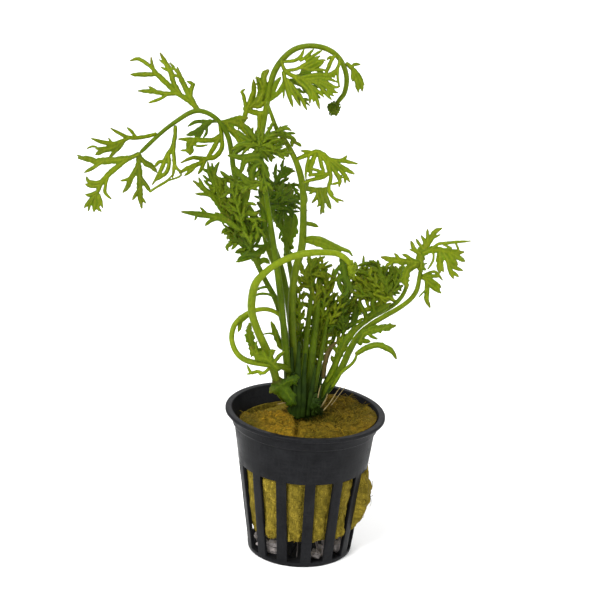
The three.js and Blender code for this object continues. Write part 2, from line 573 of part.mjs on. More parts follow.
    depth: [11.6, 0.25, 0.1],
    strokes: [
      [3.1,  28, 89.8,  25, 91,  21.6, 91.6,  18, 91.2,  15, 90.8],
      [2.2,  25, 91.6,  22.4, 94.6,  20, 97.6,  19, 99.8],
      [1.8,  21.8, 92.4,  18.8, 94.2,  16.4, 97.4],
      [1.7,  25.8, 90.2,  22.8, 88.2,  20.3, 86.8,  17.6, 85.7],
      [1,  19, 92.4,  16.8, 92.8,  14.9, 95.4],
      [1.2,  26.6, 91.6,  26.4, 94,  24.4, 96.6],
      [1.6,  24.2, 88.4,  22.4, 91.6,  20.6, 95.4,  19.4, 99.2],
    ],
  },
  inner_right_leaflet_3: {
    depth: [8, -0.3, 0.1],
    strokes: [
      [2.1,  18.6, 82,  21, 84.4,  24, 86.8,  26.8, 88.8],
      [1.4,  19.2, 83.4,  18.6, 85,  17.4, 86.8,  16.4, 89.4],
      [1.2,  21.6, 86,  20.8, 88.6,  21.4, 90.6],
    ],
  },
  right_back_leaflet_1: {
    depth: [17, 0.2, 0.2],
    strokes: [
      [2.6,  14, 93.6,  15, 96.8,  17.6, 99,  19.4, 99.6],
      [1.5,  14.8, 96.4,  12.6, 98.2,  11.4, 101.4],
      [1.2,  13.6, 93,  12.2, 92,  10.6, 90,  11, 88.2],
      [1.6,  16.6, 98.4,  18.2, 96.4,  17.8, 93.6],
      [1.8,  14.4, 94,  17, 97.4,  20.6, 99.4,  24, 101.6],
    ],
  },
  right_back_leaflet_2: {
    depth: [15.2, -0.15, 0.26],
    strokes: [
      [2.6,  11.2, 85,  10.2, 87.6,  11.6, 90.4],
      [1.8,  10.6, 83.4,  13, 85.8,  15, 88.4],
      [1.2,  10.8, 80.6,  9.4, 81,  7.4, 82,  6, 84.2],
      [1.2,  11.4, 84.6,  8.6, 86.6,  7.4, 89.8],
      [2.4,  9, 66.6,  10.8, 74,  12.6, 80,  13.8, 86],
      [2.4,  12.8, 80,  15, 82,  15.8, 85,  15.2, 90.6],
    ],
  },
  centre_leaf_1: {
    depth: [8.4, 0.1, 0.15],
    strokes: [
      [3.6,  1.6, 58,  1.8, 66,  2, 74,  3.2, 82,  4.6, 89,  5, 95.5],
      [1.6,  4.2, 90,  6.6, 92.6,  7.6, 96.4,  7.6, 99.8],
      [1.6,  3.4, 84.6,  1, 86.4,  -2.6, 87.6],
      [1.3,  2.6, 79,  0.6, 81.4,  -1.6, 82.4],
      [1,  4.4, 88.4,  7.8, 90,  9.4, 91.8],
      [1.4,  5, 92,  3.2, 94.2,  2.6, 96.6],
      [3,  3.4, 57,  4.2, 66,  5, 74,  7.2, 82,  8.6, 88],
      [2.2,  5.2, 76,  8, 83,  10, 87,  10.6, 91],
      [2,  4.4, 70,  6.6, 76,  9.4, 80,  11.6, 82],
      [2.2,  4.4, 80,  2.4, 85,  2, 89,  3.6, 94.6],
      [1.8,  0.6, 57.4,  -1.6, 66,  -2.6, 75,  -3.1, 84,  -3.2, 91,  -2.6, 96.5],
    ],
  },
  centre_leaf_2: {
    depth: [15.2, 0.1, 0.1],
    strokes: [
      [1.2,  -5.2, 90.2,  -2.6, 93.4,  -0.4, 95.8,  2, 98.2],
      [4,  -1.2, 95.4,  -1, 99.2,  0.4, 102,  1.8, 103.4],
      [3.2,  -0.6, 96.6,  1.6, 97.9,  3.8, 98.6,  5.4, 98.4],
      [2.4,  1.4, 98.6,  3.4, 100.6,  3.8, 102.8],
    ],
  },
  broad_leaf: {
    depth: [-8.7, 0.2, 0.15],
    strokes: [
      [4.4,  -4.2, 60.4,  -6.6, 59.4,  -9.2, 57.6,  -11.4, 55.8],
      [4.4,  -4.4, 53.4,  -6, 55.6,  -7.8, 57.6,  -9.4, 60],
    ],
  },
  spoon_leaf: {
    depth: [-9.5, 0, 0],
    strokes: [
      [2.5,  -14.4, 70,  -16.8, 69.9,  -18.2, 72.2,  -19.2, 75,  -19.4, 77.4,  -19.4, 79.6],
    ],
  },
  slender_leaf: {
    depth: [-4.4, 0.25, -0.15],
    strokes: [
      [1.7,  -6.4, 71.4,  -8.5, 72,  -9.5, 73.8,  -10.5, 76.4,  -11.4, 78.8,  -12.2, 80.6],
      [0.5,  -10.2, 75.4,  -12.2, 76.6,  -14.7, 76.2],
    ],
  },
  low_right_leaf_1: {
    depth: [-7.6, -0.2, 0.1],
    strokes: [
      [2.4,  17.4, 75,  18.6, 77.8,  20.4, 79,  24, 79.9,  26.6, 80.6,  28.8, 81.3],
      [0.9,  19.6, 78.4,  21.4, 77,  23.2, 76.3],
      [1.5,  17.6, 75.6,  19.2, 75.4,  20.8, 75.2],
    ],
  },
  low_right_leaf_2: {
    depth: [-8.6, -0.35, 0.1],
    strokes: [
      [0.9,  9.2, 58.8,  11.8, 63.8,  15.6, 67.6,  17, 71.6],
      [1.8,  16.8, 71,  19.4, 72.8,  23, 74.1,  26.3, 73.4,  28.6, 71.8,  29.8, 69.7],
    ],
  },
  low_right_leaf_3: {
    depth: [-1.6, -0.2, 0.1],
    strokes: [
      [1.4,  7.4, 60.4,  9.2, 64.2,  10.6, 68.8,  12.4, 73.4],
      [2.2,  11.2, 70.2,  12.4, 74.4,  14.6, 77.6,  16.6, 80.4],
      [1.4,  11.6, 72,  14, 72.4,  15.2, 71.6],
    ],
  },
  withered_leaf: {
    depth: [2.4, 0.1, 0.1],
    strokes: [
      [1.4,  5.9, 62,  6.3, 67,  7.4, 71.4,  9.8, 74.7],
    ],
  },
};

const colours = {
  plastic: 0x2c2e31,
  wool: 0x8a7422,
  crown: 0x3b4a1c,
  stem: 0x5f7d1c,
  curl: 0x7d9a2a,
  leaf: 0x6d8c12,
  withered: 0x6a5a2a,
};

// Small details of the pot's moulding, the slot cutters and the plug's shape
const collarRound = 0.6;
const rimFillet = 0.2;
const cutterStart = 12;
const cutterLength = 16;
const plugPlay = 0.1;
const plugChamfer = 1.4;
const plugFull = 12;
const plugShoulder = [44, 47];
const plugLip = 1;
const plugLifted = 46;

// How a lobe widens from its foot and narrows to its tip, and how its tip bends
const lobeFoot = 0.72;
const lobeGrowth = 0.7;
const lobeFade = [1.75, 1.05];
const bendShare = 0.11;
const bendTurn = 1.7;
const bendReach = 0.5;
const weldDistance = 1e-4;

function place(x, z, depth) {
  const onPlane = new THREE.Vector3(x, 0, z - drawnHigh);
  return onPlane.sub(eye).multiplyScalar((depth - eye.y) / -eye.y).add(eye);
}

function toSolid(geometry) {
  const bare = geometry.index ? geometry.toNonIndexed() : geometry.clone();
  bare.deleteAttribute('normal');
  bare.deleteAttribute('uv');
  const merged = mergeVertices(bare, weldDistance);
  return new wasm.Manifold(new wasm.Mesh({
    numProp: 3,
    vertProperties: new Float32Array(merged.attributes.position.array),
    triVerts: new Uint32Array(merged.index.array),
  }));
}

function toGeometry(solid) {
  const { vertProperties, triVerts } = solid.getMesh();
  const geometry = new THREE.BufferGeometry();
  geometry.setAttribute('position', new THREE.BufferAttribute(vertProperties, 3));
  geometry.setIndex(new THREE.BufferAttribute(triVerts, 1));
  return geometry;
}

function lathe(profile) {
  const points = profile.map(([radius, height]) => new THREE.Vector2(radius, height));
  const turn = THREE.MathUtils.degToRad(slotTurn + 180 / potSides);
  return new THREE.LatheGeometry(points, potSides).rotateX(Math.PI / 2).rotateZ(turn);
}

// The soft pot has been pushed out of true: its rim is higher on the left
function lean(solid) {
  const geometry = toGeometry(solid);
  const at = geometry.attributes.position;
  for (let i = 0; i < at.count; i += 1) {
    at.setZ(i, at.getZ(i) - (rimLean * at.getX(i) * Math.max(at.getZ(i), 0)) / potHeight);
  }
  return toSolid(geometry.translate(potShift, 0, 0));
}

// Pot, grown on every side by extra
function potSolid(extra) {
  const neck = potHeight - collarDrop;
  const inner = wallThickness + extra;
  const collarRadius = wallTopRadius + collarStep;
  const body = toSolid(lathe([
    [0, -extra],
    [baseRadius + extra, -extra],
    [wallTopRadius + extra, neck - extra],
    [collarRadius + extra, neck + collarRound - extra],
    [rimRadius - rimWidth + rimFillet + extra, potHeight - rimThickness - extra],
    [rimRadius + extra, potHeight - rimThickness - extra],
    [rimRadius + extra, potHeight + extra],
    [rimRadius - rimWidth - extra, potHeight + extra],
    [wallTopRadius - inner, neck],
    [baseRadius - inner, floorThickness + extra],
    [0, floorThickness + extra],
  ]));
  return lean(slotPrisms(-extra).reduce((pot, slot) => pot.subtract(slot), body));
}

// Wedges through the wall where the slots are, grown on every side by extra
function slotPrisms(extra) {
  const shape = new THREE.Shape([
    new THREE.Vector2(-slotWidthBottom / 2 - extra, slotBottom - extra),
    new THREE.Vector2(slotWidthBottom / 2 + extra, slotBottom - extra),
    new THREE.Vector2(slotWidthTop / 2 + extra, slotTop + extra),
    new THREE.Vector2(-slotWidthTop / 2 - extra, slotTop + extra),
  ]);
  const slot = new THREE.ExtrudeGeometry(shape, { depth: cutterLength, bevelEnabled: false });
  slot.rotateX(Math.PI / 2).translate(0, -cutterStart, 0);
  return Array.from({ length: slotCount }, (_, k) => {
    const turn = THREE.MathUtils.degToRad(slotTurn + (360 / slotCount) * k);
    return toSolid(slot.clone().rotateZ(turn));
  });
}

// Radius of the pot's wall, outside up to its collar and inside up to its rim
const wallAt = (z) => THREE.MathUtils.lerp(baseRadius, wallTopRadius, z / (potHeight - collarDrop));

function innerAt(z) {
  const up = (z - potHeight + collarDrop) / collarDrop;
  const flare = rimRadius - rimWidth - wallTopRadius + wallThickness;
  return Math.min(wallAt(z), wallTopRadius) - wallThickness + flare * Math.max(up, 0);
}

// Wool plug: it swells into the slots, most of all on the right
function woolSolid() {
  const clear = gap + plugPlay;
  const [shoulder, edge] = plugShoulder;
  const plug = lathe([
    [0, woolBottom],
    [innerAt(woolBottom) - clear - plugChamfer, woolBottom],
    [innerAt(plugFull) - clear, plugFull],
    [innerAt(shoulder) - clear, shoulder],
    [innerAt(edge) - clear, edge],
    [innerAt(edge) - plugLip, woolTop],
    [0, woolTop],
  ]);
  const at = plug.attributes.position;
  for (let i = 0; i < at.count; i += 1) {
    const z = at.getZ(i);
    if (z > plugLifted) {
      const lifted = z + woolRise * at.getX(i) - woolFall * at.getY(i);
      const fit = (innerAt(lifted) - clear) / (innerAt(edge) - clear);
      at.setXYZ(i, at.getX(i) * fit, at.getY(i) * fit, lifted);
    }
  }
  const swollen = (bulge) => toSolid(lathe([
    [0, woolBottom],
    [wallAt(woolBottom) + woolBulge, woolBottom],
    [wallAt(bulgeHeight) + woolBulge + bulge, bulgeHeight],
    [wallAt(slotTop) + woolBulge, slotTop],
    [0, slotTop],
  ]));
  const wads = slotPrisms(-gap).map((slot, k) => slot.intersect(swollen(sideBulge[k] ?? 0)));
  return lean(wads.reduce((wool, wad) => wool.add(wad), toSolid(plug)));
}

// Stem: a five-sided tube that thins towards its tip, with a bud where it ends in one
function stemSolid({ radius, path, bud }, extra) {
  const points = path.map(([x, z, depth]) => place(x, z, depth));
  const curve = new THREE.CatmullRomCurve3(points, false, 'centripetal');
  const steps = points.length;
  const section = new THREE.Shape();
  section.absarc(0, 0, 1, 0, 2 * Math.PI);
  const outline = new THREE.Shape(section.getSpacedPoints(stemSides).slice(0, stemSides));
  const tube = new THREE.ExtrudeGeometry(outline, { steps, extrudePath: curve, bevelEnabled: false });
  const rings = curve.getSpacedPoints(steps);
  const at = tube.attributes.position;
  const point = new THREE.Vector3();
  for (let i = 0; i < at.count; i += 1) {
    point.fromBufferAttribute(at, i);
    let ring = 0;
    for (let k = 1; k <= steps; k += 1) {
      if (rings[k].distanceTo(point) < rings[ring].distanceTo(point)) ring = k;
    }
    const size = THREE.MathUtils.lerp(radius[0], radius[1], ring / steps) + extra;
    point.sub(rings[ring]).multiplyScalar(size).add(rings[ring]);
    at.setXYZ(i, point.x, point.y, point.z);
  }
  let stem = toSolid(tube);
  if (bud) {
    const [x, z, depth, width, height] = bud;
    const ball = new THREE.IcosahedronGeometry(1, 1);
    ball.scale(width / 2 + extra, width / 2 + extra, height / 2 + extra);
    ball.translate(...place(x, z, depth));
    stem = stem.add(toSolid(ball));
  }
  return stem;
}

function pairs(numbers) {
  const points = [];
  for (let i = 0; i < numbers.length; i += 2) {
    points.push(new THREE.Vector2(numbers[i], numbers[i + 1]));
  }
  return points;
}

// Points of a line that its bends need
function bends(points, tolerance = axisTolerance) {
  const kept = [points[0]];
  for (let i = 1; i < points.length - 1; i += 1) {
    const chord = points[i + 1].clone().sub(kept[kept.length - 1]);
    const offset = points[i].clone().sub(kept[kept.length - 1]);
    const past = Math.abs(chord.cross(offset)) / chord.length();
    if (past > tolerance || chord.dot(offset) < 0) kept.push(points[i]);
  }
  return [...kept, points[points.length - 1]];
}

function loopBends(loop) {
  const ends = bends([...loop, loop[0]], outlineTolerance);
  return ends.slice(0, -1);
}

// Outline of one lobe: narrow at its foot, full in the middle and pointed at its tip
function lobeShape(width, axis, extra) {
  const straight = axis.length === 2 && width > spikeWidth;
  const points = straight ? [axis[0], axis[0].clone().lerp(axis[1], 0.5), axis[1]] : axis;
  const last = points.length - 1;
  const left = [];
  const right = [];
  for (let i = 0; i < last; i += 1) {
    const along = points[i + 1].clone().sub(points[Math.max(i - 1, 0)]).normalize();
    const across = new THREE.Vector2(-along.y, along.x);
    const part = i / last;
    const share = Math.min(1, lobeFoot + lobeGrowth * part, lobeFade[0] - lobeFade[1] * part);
    const half = (width / 2) * share + extra;
    left.push(points[i].clone().addScaledVector(across, half));
    right.unshift(points[i].clone().addScaledVector(across, -half));
  }
  return new THREE.Shape([...left, points[last], ...right]);
}

// How far a lobe's tip bends back or forward from the plane of its leaf
const curl = (length, index) => bendShare * length * Math.sin(bendTurn * index);

function nearestOn(axis, x, z) {
  let best = { distance: Infinity, part: 0 };
  const lengths = axis.slice(1).map((point, i) => point.distanceTo(axis[i]));
  const total = lengths.reduce((sum, length) => sum + length, 0);
  let before = 0;
  lengths.forEach((length, i) => {
    const step = axis[i + 1].clone().sub(axis[i]);
    const from = new THREE.Vector2(x, z).sub(axis[i]);
    const t = THREE.MathUtils.clamp(from.dot(step) / (length * length), 0, 1);
    const distance = from.distanceTo(step.multiplyScalar(t));
    if (distance < best.distance) best = { distance, part: (before + t * length) / total };
    before += length;
  });
  return { ...best, total };
}

function leafDepth(leaf, axes, x, z) {
  const [start, leanX, leanZ] = leaf.depth;
  let weights = 0;
  let bend = 0;
  axes.forEach((axis, index) => {
    const near = nearestOn(axis, x, z);
    const weight = Math.exp(-near.distance / bendReach);
    weights += weight;
    bend += weight * curl(near.total, index) * near.part ** 2;
  });
  const foot = axes[0][0];
  return start + leanX * (x - foot.x) + leanZ * (z - foot.y) + bend / weights;
}

// Edge loops of the upper side of a flat solid, with the points that its outline needs
function outlineLoops(flat) {
  const { vertProperties, triVerts } = flat.getMesh();
  const edges = new Set();
  for (let i = 0; i < triVerts.length; i += 3) {
    const [a, b, c] = triVerts.slice(i, i + 3);
    if ([a, b, c].every((corner) => vertProperties[3 * corner + 2] > 0.5)) {
      edges.add(`${a},${b}`).add(`${b},${c}`).add(`${c},${a}`);
    }
  }
  const next = new Map([...edges].map((edge) => edge.split(',').map(Number))
    .filter(([a, b]) => !edges.has(`${b},${a}`)));
  const loops = [];
  while (next.size > 0) {
    const loop = [];
    let [corner] = next.keys();
    while (next.has(corner)) {
      loop.push(new THREE.Vector2(vertProperties[3 * corner], vertProperties[3 * corner + 1]));
      const following = next.get(corner);
      next.delete(corner);
      corner = following;
    }
    loops.push(loopBends(loop));
  }
  return loops.filter((loop) => loop.length > 2)
    .sort((one, other) => THREE.ShapeUtils.area(other) - THREE.ShapeUtils.area(one));
}

// Leaf: flat lobes joined into one outline, given a thickness and laid to its depth
function leafSolid(leaf, extra) {
  const axes = leaf.strokes.map(([, ...numbers]) => bends(pairs(numbers)));
  const flat = leaf.strokes.map(([width], index) => toSolid(new THREE.ExtrudeGeometry(
    lobeShape(width, axes[index], extra),
    { depth: 1, bevelEnabled: false },
  ))).reduce((sum, lobe) => sum.add(lobe));
  const loops = outlineLoops(largest(flat));
  const corners = loops.flat();
  const count = corners.length;
  const positions = [];
  const half = bladeThickness / 2 + extra;
  for (const side of [-half, half]) {
    for (const { x, y } of corners) {
      positions.push(...place(x, y, leafDepth(leaf, axes, x, y) + side));
    }
  }
  const faces = THREE.ShapeUtils.triangulateShape(loops[0], loops.slice(1))
    .flatMap(([a, b, c]) => [a, b, c, count + c, count + b, count + a]);
  let first = 0;
  for (const loop of loops) {
    for (let i = 0; i < loop.length; i += 1) {
      const a = first + i;
      const b = first + ((i + 1) % loop.length);
      faces.push(a, count + a, count + b, a, count + b, b);
    }
    first += loop.length;
  }
  const geometry = new THREE.BufferGeometry();
  geometry.setAttribute('position', new THREE.Float32BufferAttribute(positions, 3));
  geometry.setIndex(faces);
  return toSolid(geometry);
}

function largest(solid) {
  return solid.decompose().reduce((best, piece) => (piece.volume() > best.volume() ? piece : best));
}

// Pieces are made in this order, and each is cut back by a gap from those it would touch
const made = [];

function addPiece(name, solid, grown, colour, finish = [0.55, 0]) {
  made.push({ name, solid, grown, colour, finish });
}

function cutBack(solid, others = made) {
  const box = solid.boundingBox();
  let left = solid;
  for (const other of others) {
    const far = other.grown.boundingBox();
    const apart = [0, 1, 2].some((i) => far.min[i] > box.max[i] || far.max[i] < box.min[i]);
    if (!apart && other.grown.intersect(left).volume() > leastCut) left = left.subtract(other.grown);
  }
  return largest(left);
}

addPiece('net_pot', potSolid(0), potSolid(gap), colours.plastic, [0.42, 0]);

// A stem with the small leaves that are one piece with it
function branchSolid(name, extra) {
  return Object.values(leaves)
    .filter((leaf) => leaf.grownOn === name)
    .reduce((sum, leaf) => sum.add(leafSolid(leaf, extra)), stemSolid(stems[name], extra));
}

for (const name of Object.keys(stems)) {
  const colour = name.includes('curl') ? colours.curl : colours.stem;
  addPiece(name, cutBack(branchSolid(name, 0)), branchSolid(name, gap), colour);
}

for (const [name, leaf] of Object.entries(leaves)) {
  const colour = name.startsWith('withered') ? colours.withered : colours.leaf;
  if (!leaf.grownOn) addPiece(name, cutBack(leafSolid(leaf, 0)), leafSolid(leaf, gap), colour);
}

const crownBall = new THREE.IcosahedronGeometry(1, 1);
const crown = crownBall.clone().scale(...crownSize).translate(...crownCentre);
const grownCrown = crownBall.scale(...crownSize.map((size) => size + gap)).translate(...crownCentre);
addPiece('crown', cutBack(toSolid(crown)), toSolid(grownCrown), colours.crown, [0.8, 0]);

const rooted = made.filter(({ name }) => name !== 'net_pot');
addPiece('rock_wool', cutBack(woolSolid(), rooted), null, colours.wool, [0.95, 0]);

const plant = new THREE.Group();
for (const { name, solid, colour, finish: [roughness, metalness] } of made) {
  const material = new THREE.MeshStandardMaterial({ color: colour, roughness, metalness });
  const piece = new THREE.Mesh(toGeometry(solid), material);
  piece.name = name;
  plant.add(piece);
}

export default plant;
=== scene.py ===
import math

import bmesh
import bpy
import numpy as np
from mathutils import Matrix, Vector


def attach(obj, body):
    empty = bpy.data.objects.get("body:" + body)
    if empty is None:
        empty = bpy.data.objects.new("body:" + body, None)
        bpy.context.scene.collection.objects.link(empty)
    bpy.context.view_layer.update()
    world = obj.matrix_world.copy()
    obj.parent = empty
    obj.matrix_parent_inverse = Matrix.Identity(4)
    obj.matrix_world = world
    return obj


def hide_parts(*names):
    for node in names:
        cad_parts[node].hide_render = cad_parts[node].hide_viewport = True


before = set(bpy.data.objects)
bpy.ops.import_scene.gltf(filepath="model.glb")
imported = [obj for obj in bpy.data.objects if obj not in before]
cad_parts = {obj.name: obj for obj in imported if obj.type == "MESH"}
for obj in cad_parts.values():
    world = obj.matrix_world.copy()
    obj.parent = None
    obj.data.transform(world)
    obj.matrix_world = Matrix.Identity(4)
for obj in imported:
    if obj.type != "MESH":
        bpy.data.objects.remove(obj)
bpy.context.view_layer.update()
print("frame loaded:", len(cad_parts), "nodes")

millimetre = 0.001

# The plant is drawn upright through the pot's axis as the camera sees it, and each piece
# is then moved along its line of sight to its depth (millimetres)
drawing = {
    "eye": (-3.0, -524.25, 254.8),
    "drawnHigh": 0.15,
    "target": (-3.0, 0.0, 88.5),
    "roll": 2.5,
    "lens": 100.08,
    "sensor": 36,
}


def place(x, z, depth):
    eyeX, eyeY, eyeZ = drawing["eye"]
    x, z, depth = np.broadcast_arrays(np.asarray(x, float), z, depth)
    reach = (depth - eyeY) / -eyeY
    across = eyeX + (x - eyeX) * reach
    up = eyeZ + (z - drawing["drawnHigh"] - eyeZ) * reach
    return np.stack([across, depth, up], -1)


def waves(points, size, seed, count=9):
    # smooth lumps, about -1 to 1, from waves in random directions
    rng = np.random.default_rng(seed)
    total = np.zeros(len(points))
    for k in range(count):
        direction = rng.normal(size=3)
        direction /= np.linalg.norm(direction)
        length = size * rng.uniform(0.6, 1.7)
        total += np.sin(points @ direction * 2 * math.pi / length + rng.uniform(0, 6.28))
    return total / math.sqrt(count)


def smoothStep(value, low, high):
    part = np.clip((value - low) / (high - low), 0, 1)
    return part * part * (3 - 2 * part)


def smoothPath(points, step):
    # evenly spaced points on a curve through the given ones
    points = np.asarray(points, float)
    ends = np.vstack([2 * points[0] - points[1], points, 2 * points[-1] - points[-2]])
    dense = []
    for k in range(1, len(ends) - 2):
        a, b, c, d = ends[k - 1 : k + 3]
        t = np.linspace(0, 1, 12, endpoint=False)[:, None]
        slopeB = (c - a) / 2
        slopeC = (d - b) / 2
        dense.append(
            (2 * t**3 - 3 * t**2 + 1) * b
            + (t**3 - 2 * t**2 + t) * slopeB
            + (3 * t**2 - 2 * t**3) * c
            + (t**3 - t**2) * slopeC
        )
    dense = np.vstack(dense + [points[-1:]])
    along = np.r_[0, np.cumsum(np.linalg.norm(np.diff(dense, axis=0), axis=1))]
    count = max(3, int(round(along[-1] / step)) + 1)
    wanted = np.linspace(0, along[-1], count)
    return np.stack([np.interp(wanted, along, dense[:, k]) for k in range(dense.shape[1])], 1)


class Sheaf:
    # vertices, faces and shading marks gathered for one mesh

    def __init__(self):
        self.points = []
        self.faces = []
        self.marks = []
        self.count = 0

    def add(self, points, faces, marks):
        # marks are a row for each point, or one row for all of them
        self.points.append(points)
        self.faces += [tuple(int(corner) + self.count for corner in face) for face in faces]
        self.marks.append(np.broadcast_to(marks, (len(points), 3)))
        self.count += len(points)

    def build(self, name, material, slotName, *nodes):
        mesh = bpy.data.meshes.new(name)
        points = np.vstack(self.points) * millimetre
        mesh.from_pydata(points.tolist(), [], self.faces)
        mesh.polygons.foreach_set("use_smooth", [True] * len(mesh.polygons))
        marks = np.vstack(self.marks)
        colours = np.concatenate([marks, np.ones((len(marks), 1))], 1)
        layer = mesh.color_attributes.new("marks", "FLOAT_COLOR", "POINT")
        layer.data.foreach_set("color", colours.astype(np.float32).ravel())
        mesh.materials.append(material)
        mesh.validate()
        piece = bpy.data.objects.new(name, mesh)
        bpy.context.scene.collection.objects.link(piece)
        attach(piece, "root")
        if nodes:
            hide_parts(*nodes)
        return piece


def fixNormals(piece):
    shape = bmesh.new()
    shape.from_mesh(piece.data)
    loose = [corner for corner in shape.verts if not corner.link_faces]
    bmesh.ops.delete(shape, geom=loose, context="VERTS")
    bmesh.ops.recalc_face_normals(shape, faces=shape.faces)
    shape.to_mesh(piece.data)
    shape.free()


def ballShape(subdivisions):
    # points and faces of a ball with a radius of 1
    ball = bmesh.new()
    bmesh.ops.create_icosphere(ball, subdivisions=subdivisions, radius=1)
    points = np.array([corner.co for corner in ball.verts])
    faces = [[corner.index for corner in face.verts] for face in ball.faces]
    ball.free()
    return points, faces


def ringFaces(rows, columns, isHole=None):
    # quads between closed rings of points, and a fan to the centre point of each end ring
    faces = []
    for row in range(rows - 1):
        for column in range(columns):
            if not (isHole and isHole(row, column)):
                a = row * columns + column
                b = row * columns + (column + 1) % columns
                faces.append((a, b, b + columns, a + columns))
    foot = rows * columns
    last = foot - columns
    for column in range(columns):
        beside = (column + 1) % columns
        faces.append((foot, beside, column))
        faces.append((foot + 1, last + column, last + beside))
    return faces


def addTube(sheaf, line, radii, sides=12, ribs=0, ribDepth=0.0, marks=(0, 0)):
    # closed tube along a line, with lengthwise ribs where a stipe has them
    radii = np.broadcast_to(radii, len(line))
    along = np.gradient(line, axis=0)
    along /= np.linalg.norm(along, axis=1)[:, None] + 1e-9
    side = np.cross(along[0], [0.0, 0.0, 1.0] if abs(along[0][2]) < 0.9 else [1.0, 0.0, 0.0])
    angles = np.arange(sides) * 2 * math.pi / sides
    wobble = 1 + ribDepth * np.cos(ribs * angles)
    rings = []
    for k, point in enumerate(line):
        side = side - along[k] * (side @ along[k])
        side /= np.linalg.norm(side)
        other = np.cross(along[k], side)
        spread = np.cos(angles)[:, None] * side + np.sin(angles)[:, None] * other
        rings.append(point + spread * (radii[k] * wobble)[:, None])
    points = np.vstack(rings + [line[:1], line[-1:]])
    part = np.r_[np.repeat(np.linspace(0, 1, len(line)), sides), 0, 1]
    tubeMarks = np.stack([np.full(len(part), marks[0]), np.full(len(part), marks[1]), part], 1)
    sheaf.add(points, ringFaces(len(line), sides), tubeMarks)


def newGroup(name, inputs, outputs):
    group = bpy.data.node_groups.new(name, "ShaderNodeTree")
    for title, kind, value in inputs:
        socket = group.interface.new_socket(title, in_out="INPUT", socket_type=kind)
        socket.default_value = value
    for title, kind in outputs:
        group.interface.new_socket(title, in_out="OUTPUT", socket_type=kind)
    source = group.nodes.new("NodeGroupInput")
    sink = group.nodes.new("NodeGroupOutput")
    return group, source, sink


def mathNode(tree, operation, first, second, clamp=False):
    node = tree.nodes.new("ShaderNodeMath")
    node.operation = operation
    node.use_clamp = clamp
    for socket, value in zip(node.inputs, (first, second)):
        if isinstance(value, (int, float)):
            socket.default_value = value
        else:
            tree.links.new(value, socket)
    return node.outputs[0]


def mixNode(tree, factor, first, second):
    node = tree.nodes.new("ShaderNodeMix")
    node.data_type = "RGBA"
    sockets = (node.inputs[0], node.inputs[6], node.inputs[7])
    for socket, value in zip(sockets, (factor, first, second)):
        if isinstance(value, (int, float)):
            socket.default_value = value
        elif isinstance(value, tuple):
            socket.default_value = (*value, 1)
        else:
            tree.links.new(value, socket)
    return node.outputs[2]


def tint(tree, colour, mask, amount, other):
    # another colour laid over this one where the mask is light
    return mixNode(tree, mathNode(tree, "MULTIPLY", mask, amount), colour, other)


def makeMottle():
    # broad and fine blotches: a mask for colour and roughness, and a height for bump
    group, source, sink = newGroup(
        "mottle",
        [
            ("Size", "NodeSocketFloat", 0.01),
            ("Detail", "NodeSocketFloat", 4.0),
            ("Contrast", "NodeSocketFloat", 1.5),
        ],
        [("Mask", "NodeSocketFloat"), ("Height", "NodeSocketFloat")],
    )
    where = group.nodes.new("ShaderNodeTexCoord").outputs["Object"]
    scale = mathNode(group, "DIVIDE", 1.0, source.outputs["Size"])
    noise = group.nodes.new("ShaderNodeTexNoise")
    group.links.new(where, noise.inputs["Vector"])
    group.links.new(scale, noise.inputs["Scale"])
    group.links.new(source.outputs["Detail"], noise.inputs["Detail"])
    centred = mathNode(group, "SUBTRACT", noise.outputs["Fac"], 0.5)
    spread = mathNode(group, "MULTIPLY", centred, source.outputs["Contrast"])
    mask = mathNode(group, "ADD", spread, 0.5, clamp=True)
    group.links.new(mask, sink.inputs["Mask"])
    group.links.new(noise.outputs["Fac"], sink.inputs["Height"])
    return group


def makeStreaks(level=0.42, sharpness=5.0):
    # long fine lines drawn out along one direction, such as leaf veins, scuffs and fibres
    group, source, sink = newGroup(
        "streaks",
        [("Width", "NodeSocketFloat", 0.0004), ("Stretch", "NodeSocketVector", (1, 1, 0.1))],
        [("Mask", "NodeSocketFloat")],
    )
    where = group.nodes.new("ShaderNodeTexCoord").outputs["Object"]
    scaled = group.nodes.new("ShaderNodeVectorMath")
    scaled.operation = "MULTIPLY"
    group.links.new(where, scaled.inputs[0])
    group.links.new(source.outputs["Stretch"], scaled.inputs[1])
    noise = group.nodes.new("ShaderNodeTexNoise")
    noise.inputs["Detail"].default_value = 3
    group.links.new(scaled.outputs[0], noise.inputs["Vector"])
    group.links.new(mathNode(group, "DIVIDE", 1.0, source.outputs["Width"]), noise.inputs["Scale"])
    raised = mathNode(group, "SUBTRACT", noise.outputs["Fac"], level)
    sharp = mathNode(group, "MULTIPLY", raised, sharpness, clamp=True)
    group.links.new(sharp, sink.inputs["Mask"])
    return group


def makeGrowth():
    # what the meshes carry at each point: margin, rib and how far along (the wool carries its crumb mark
    # and its light mark, which hold painted shade and light, and how far onto its top)
    group, source, sink = newGroup(
        "growth",
        [("Margin Width", "NodeSocketFloat", 0.5)],
        [("Margin", "NodeSocketFloat"), ("Rib", "NodeSocketFloat"), ("Along", "NodeSocketFloat")],
    )
    layer = group.nodes.new("ShaderNodeVertexColor")
    layer.layer_name = "marks"
    parts = group.nodes.new("ShaderNodeSeparateColor")
    group.links.new(layer.outputs["Color"], parts.inputs[0])
    margin = mathNode(group, "SUBTRACT", parts.outputs[0], source.outputs["Margin Width"])
    rest = mathNode(group, "SUBTRACT", 1.0, source.outputs["Margin Width"])
    group.links.new(mathNode(group, "DIVIDE", margin, rest, clamp=True), sink.inputs["Margin"])
    group.links.new(parts.outputs[1], sink.inputs["Rib"])
    group.links.new(parts.outputs[2], sink.inputs["Along"])
    return group


mottle = makeMottle()
streaks = makeStreaks()
growth = makeGrowth()
print("shader groups made")


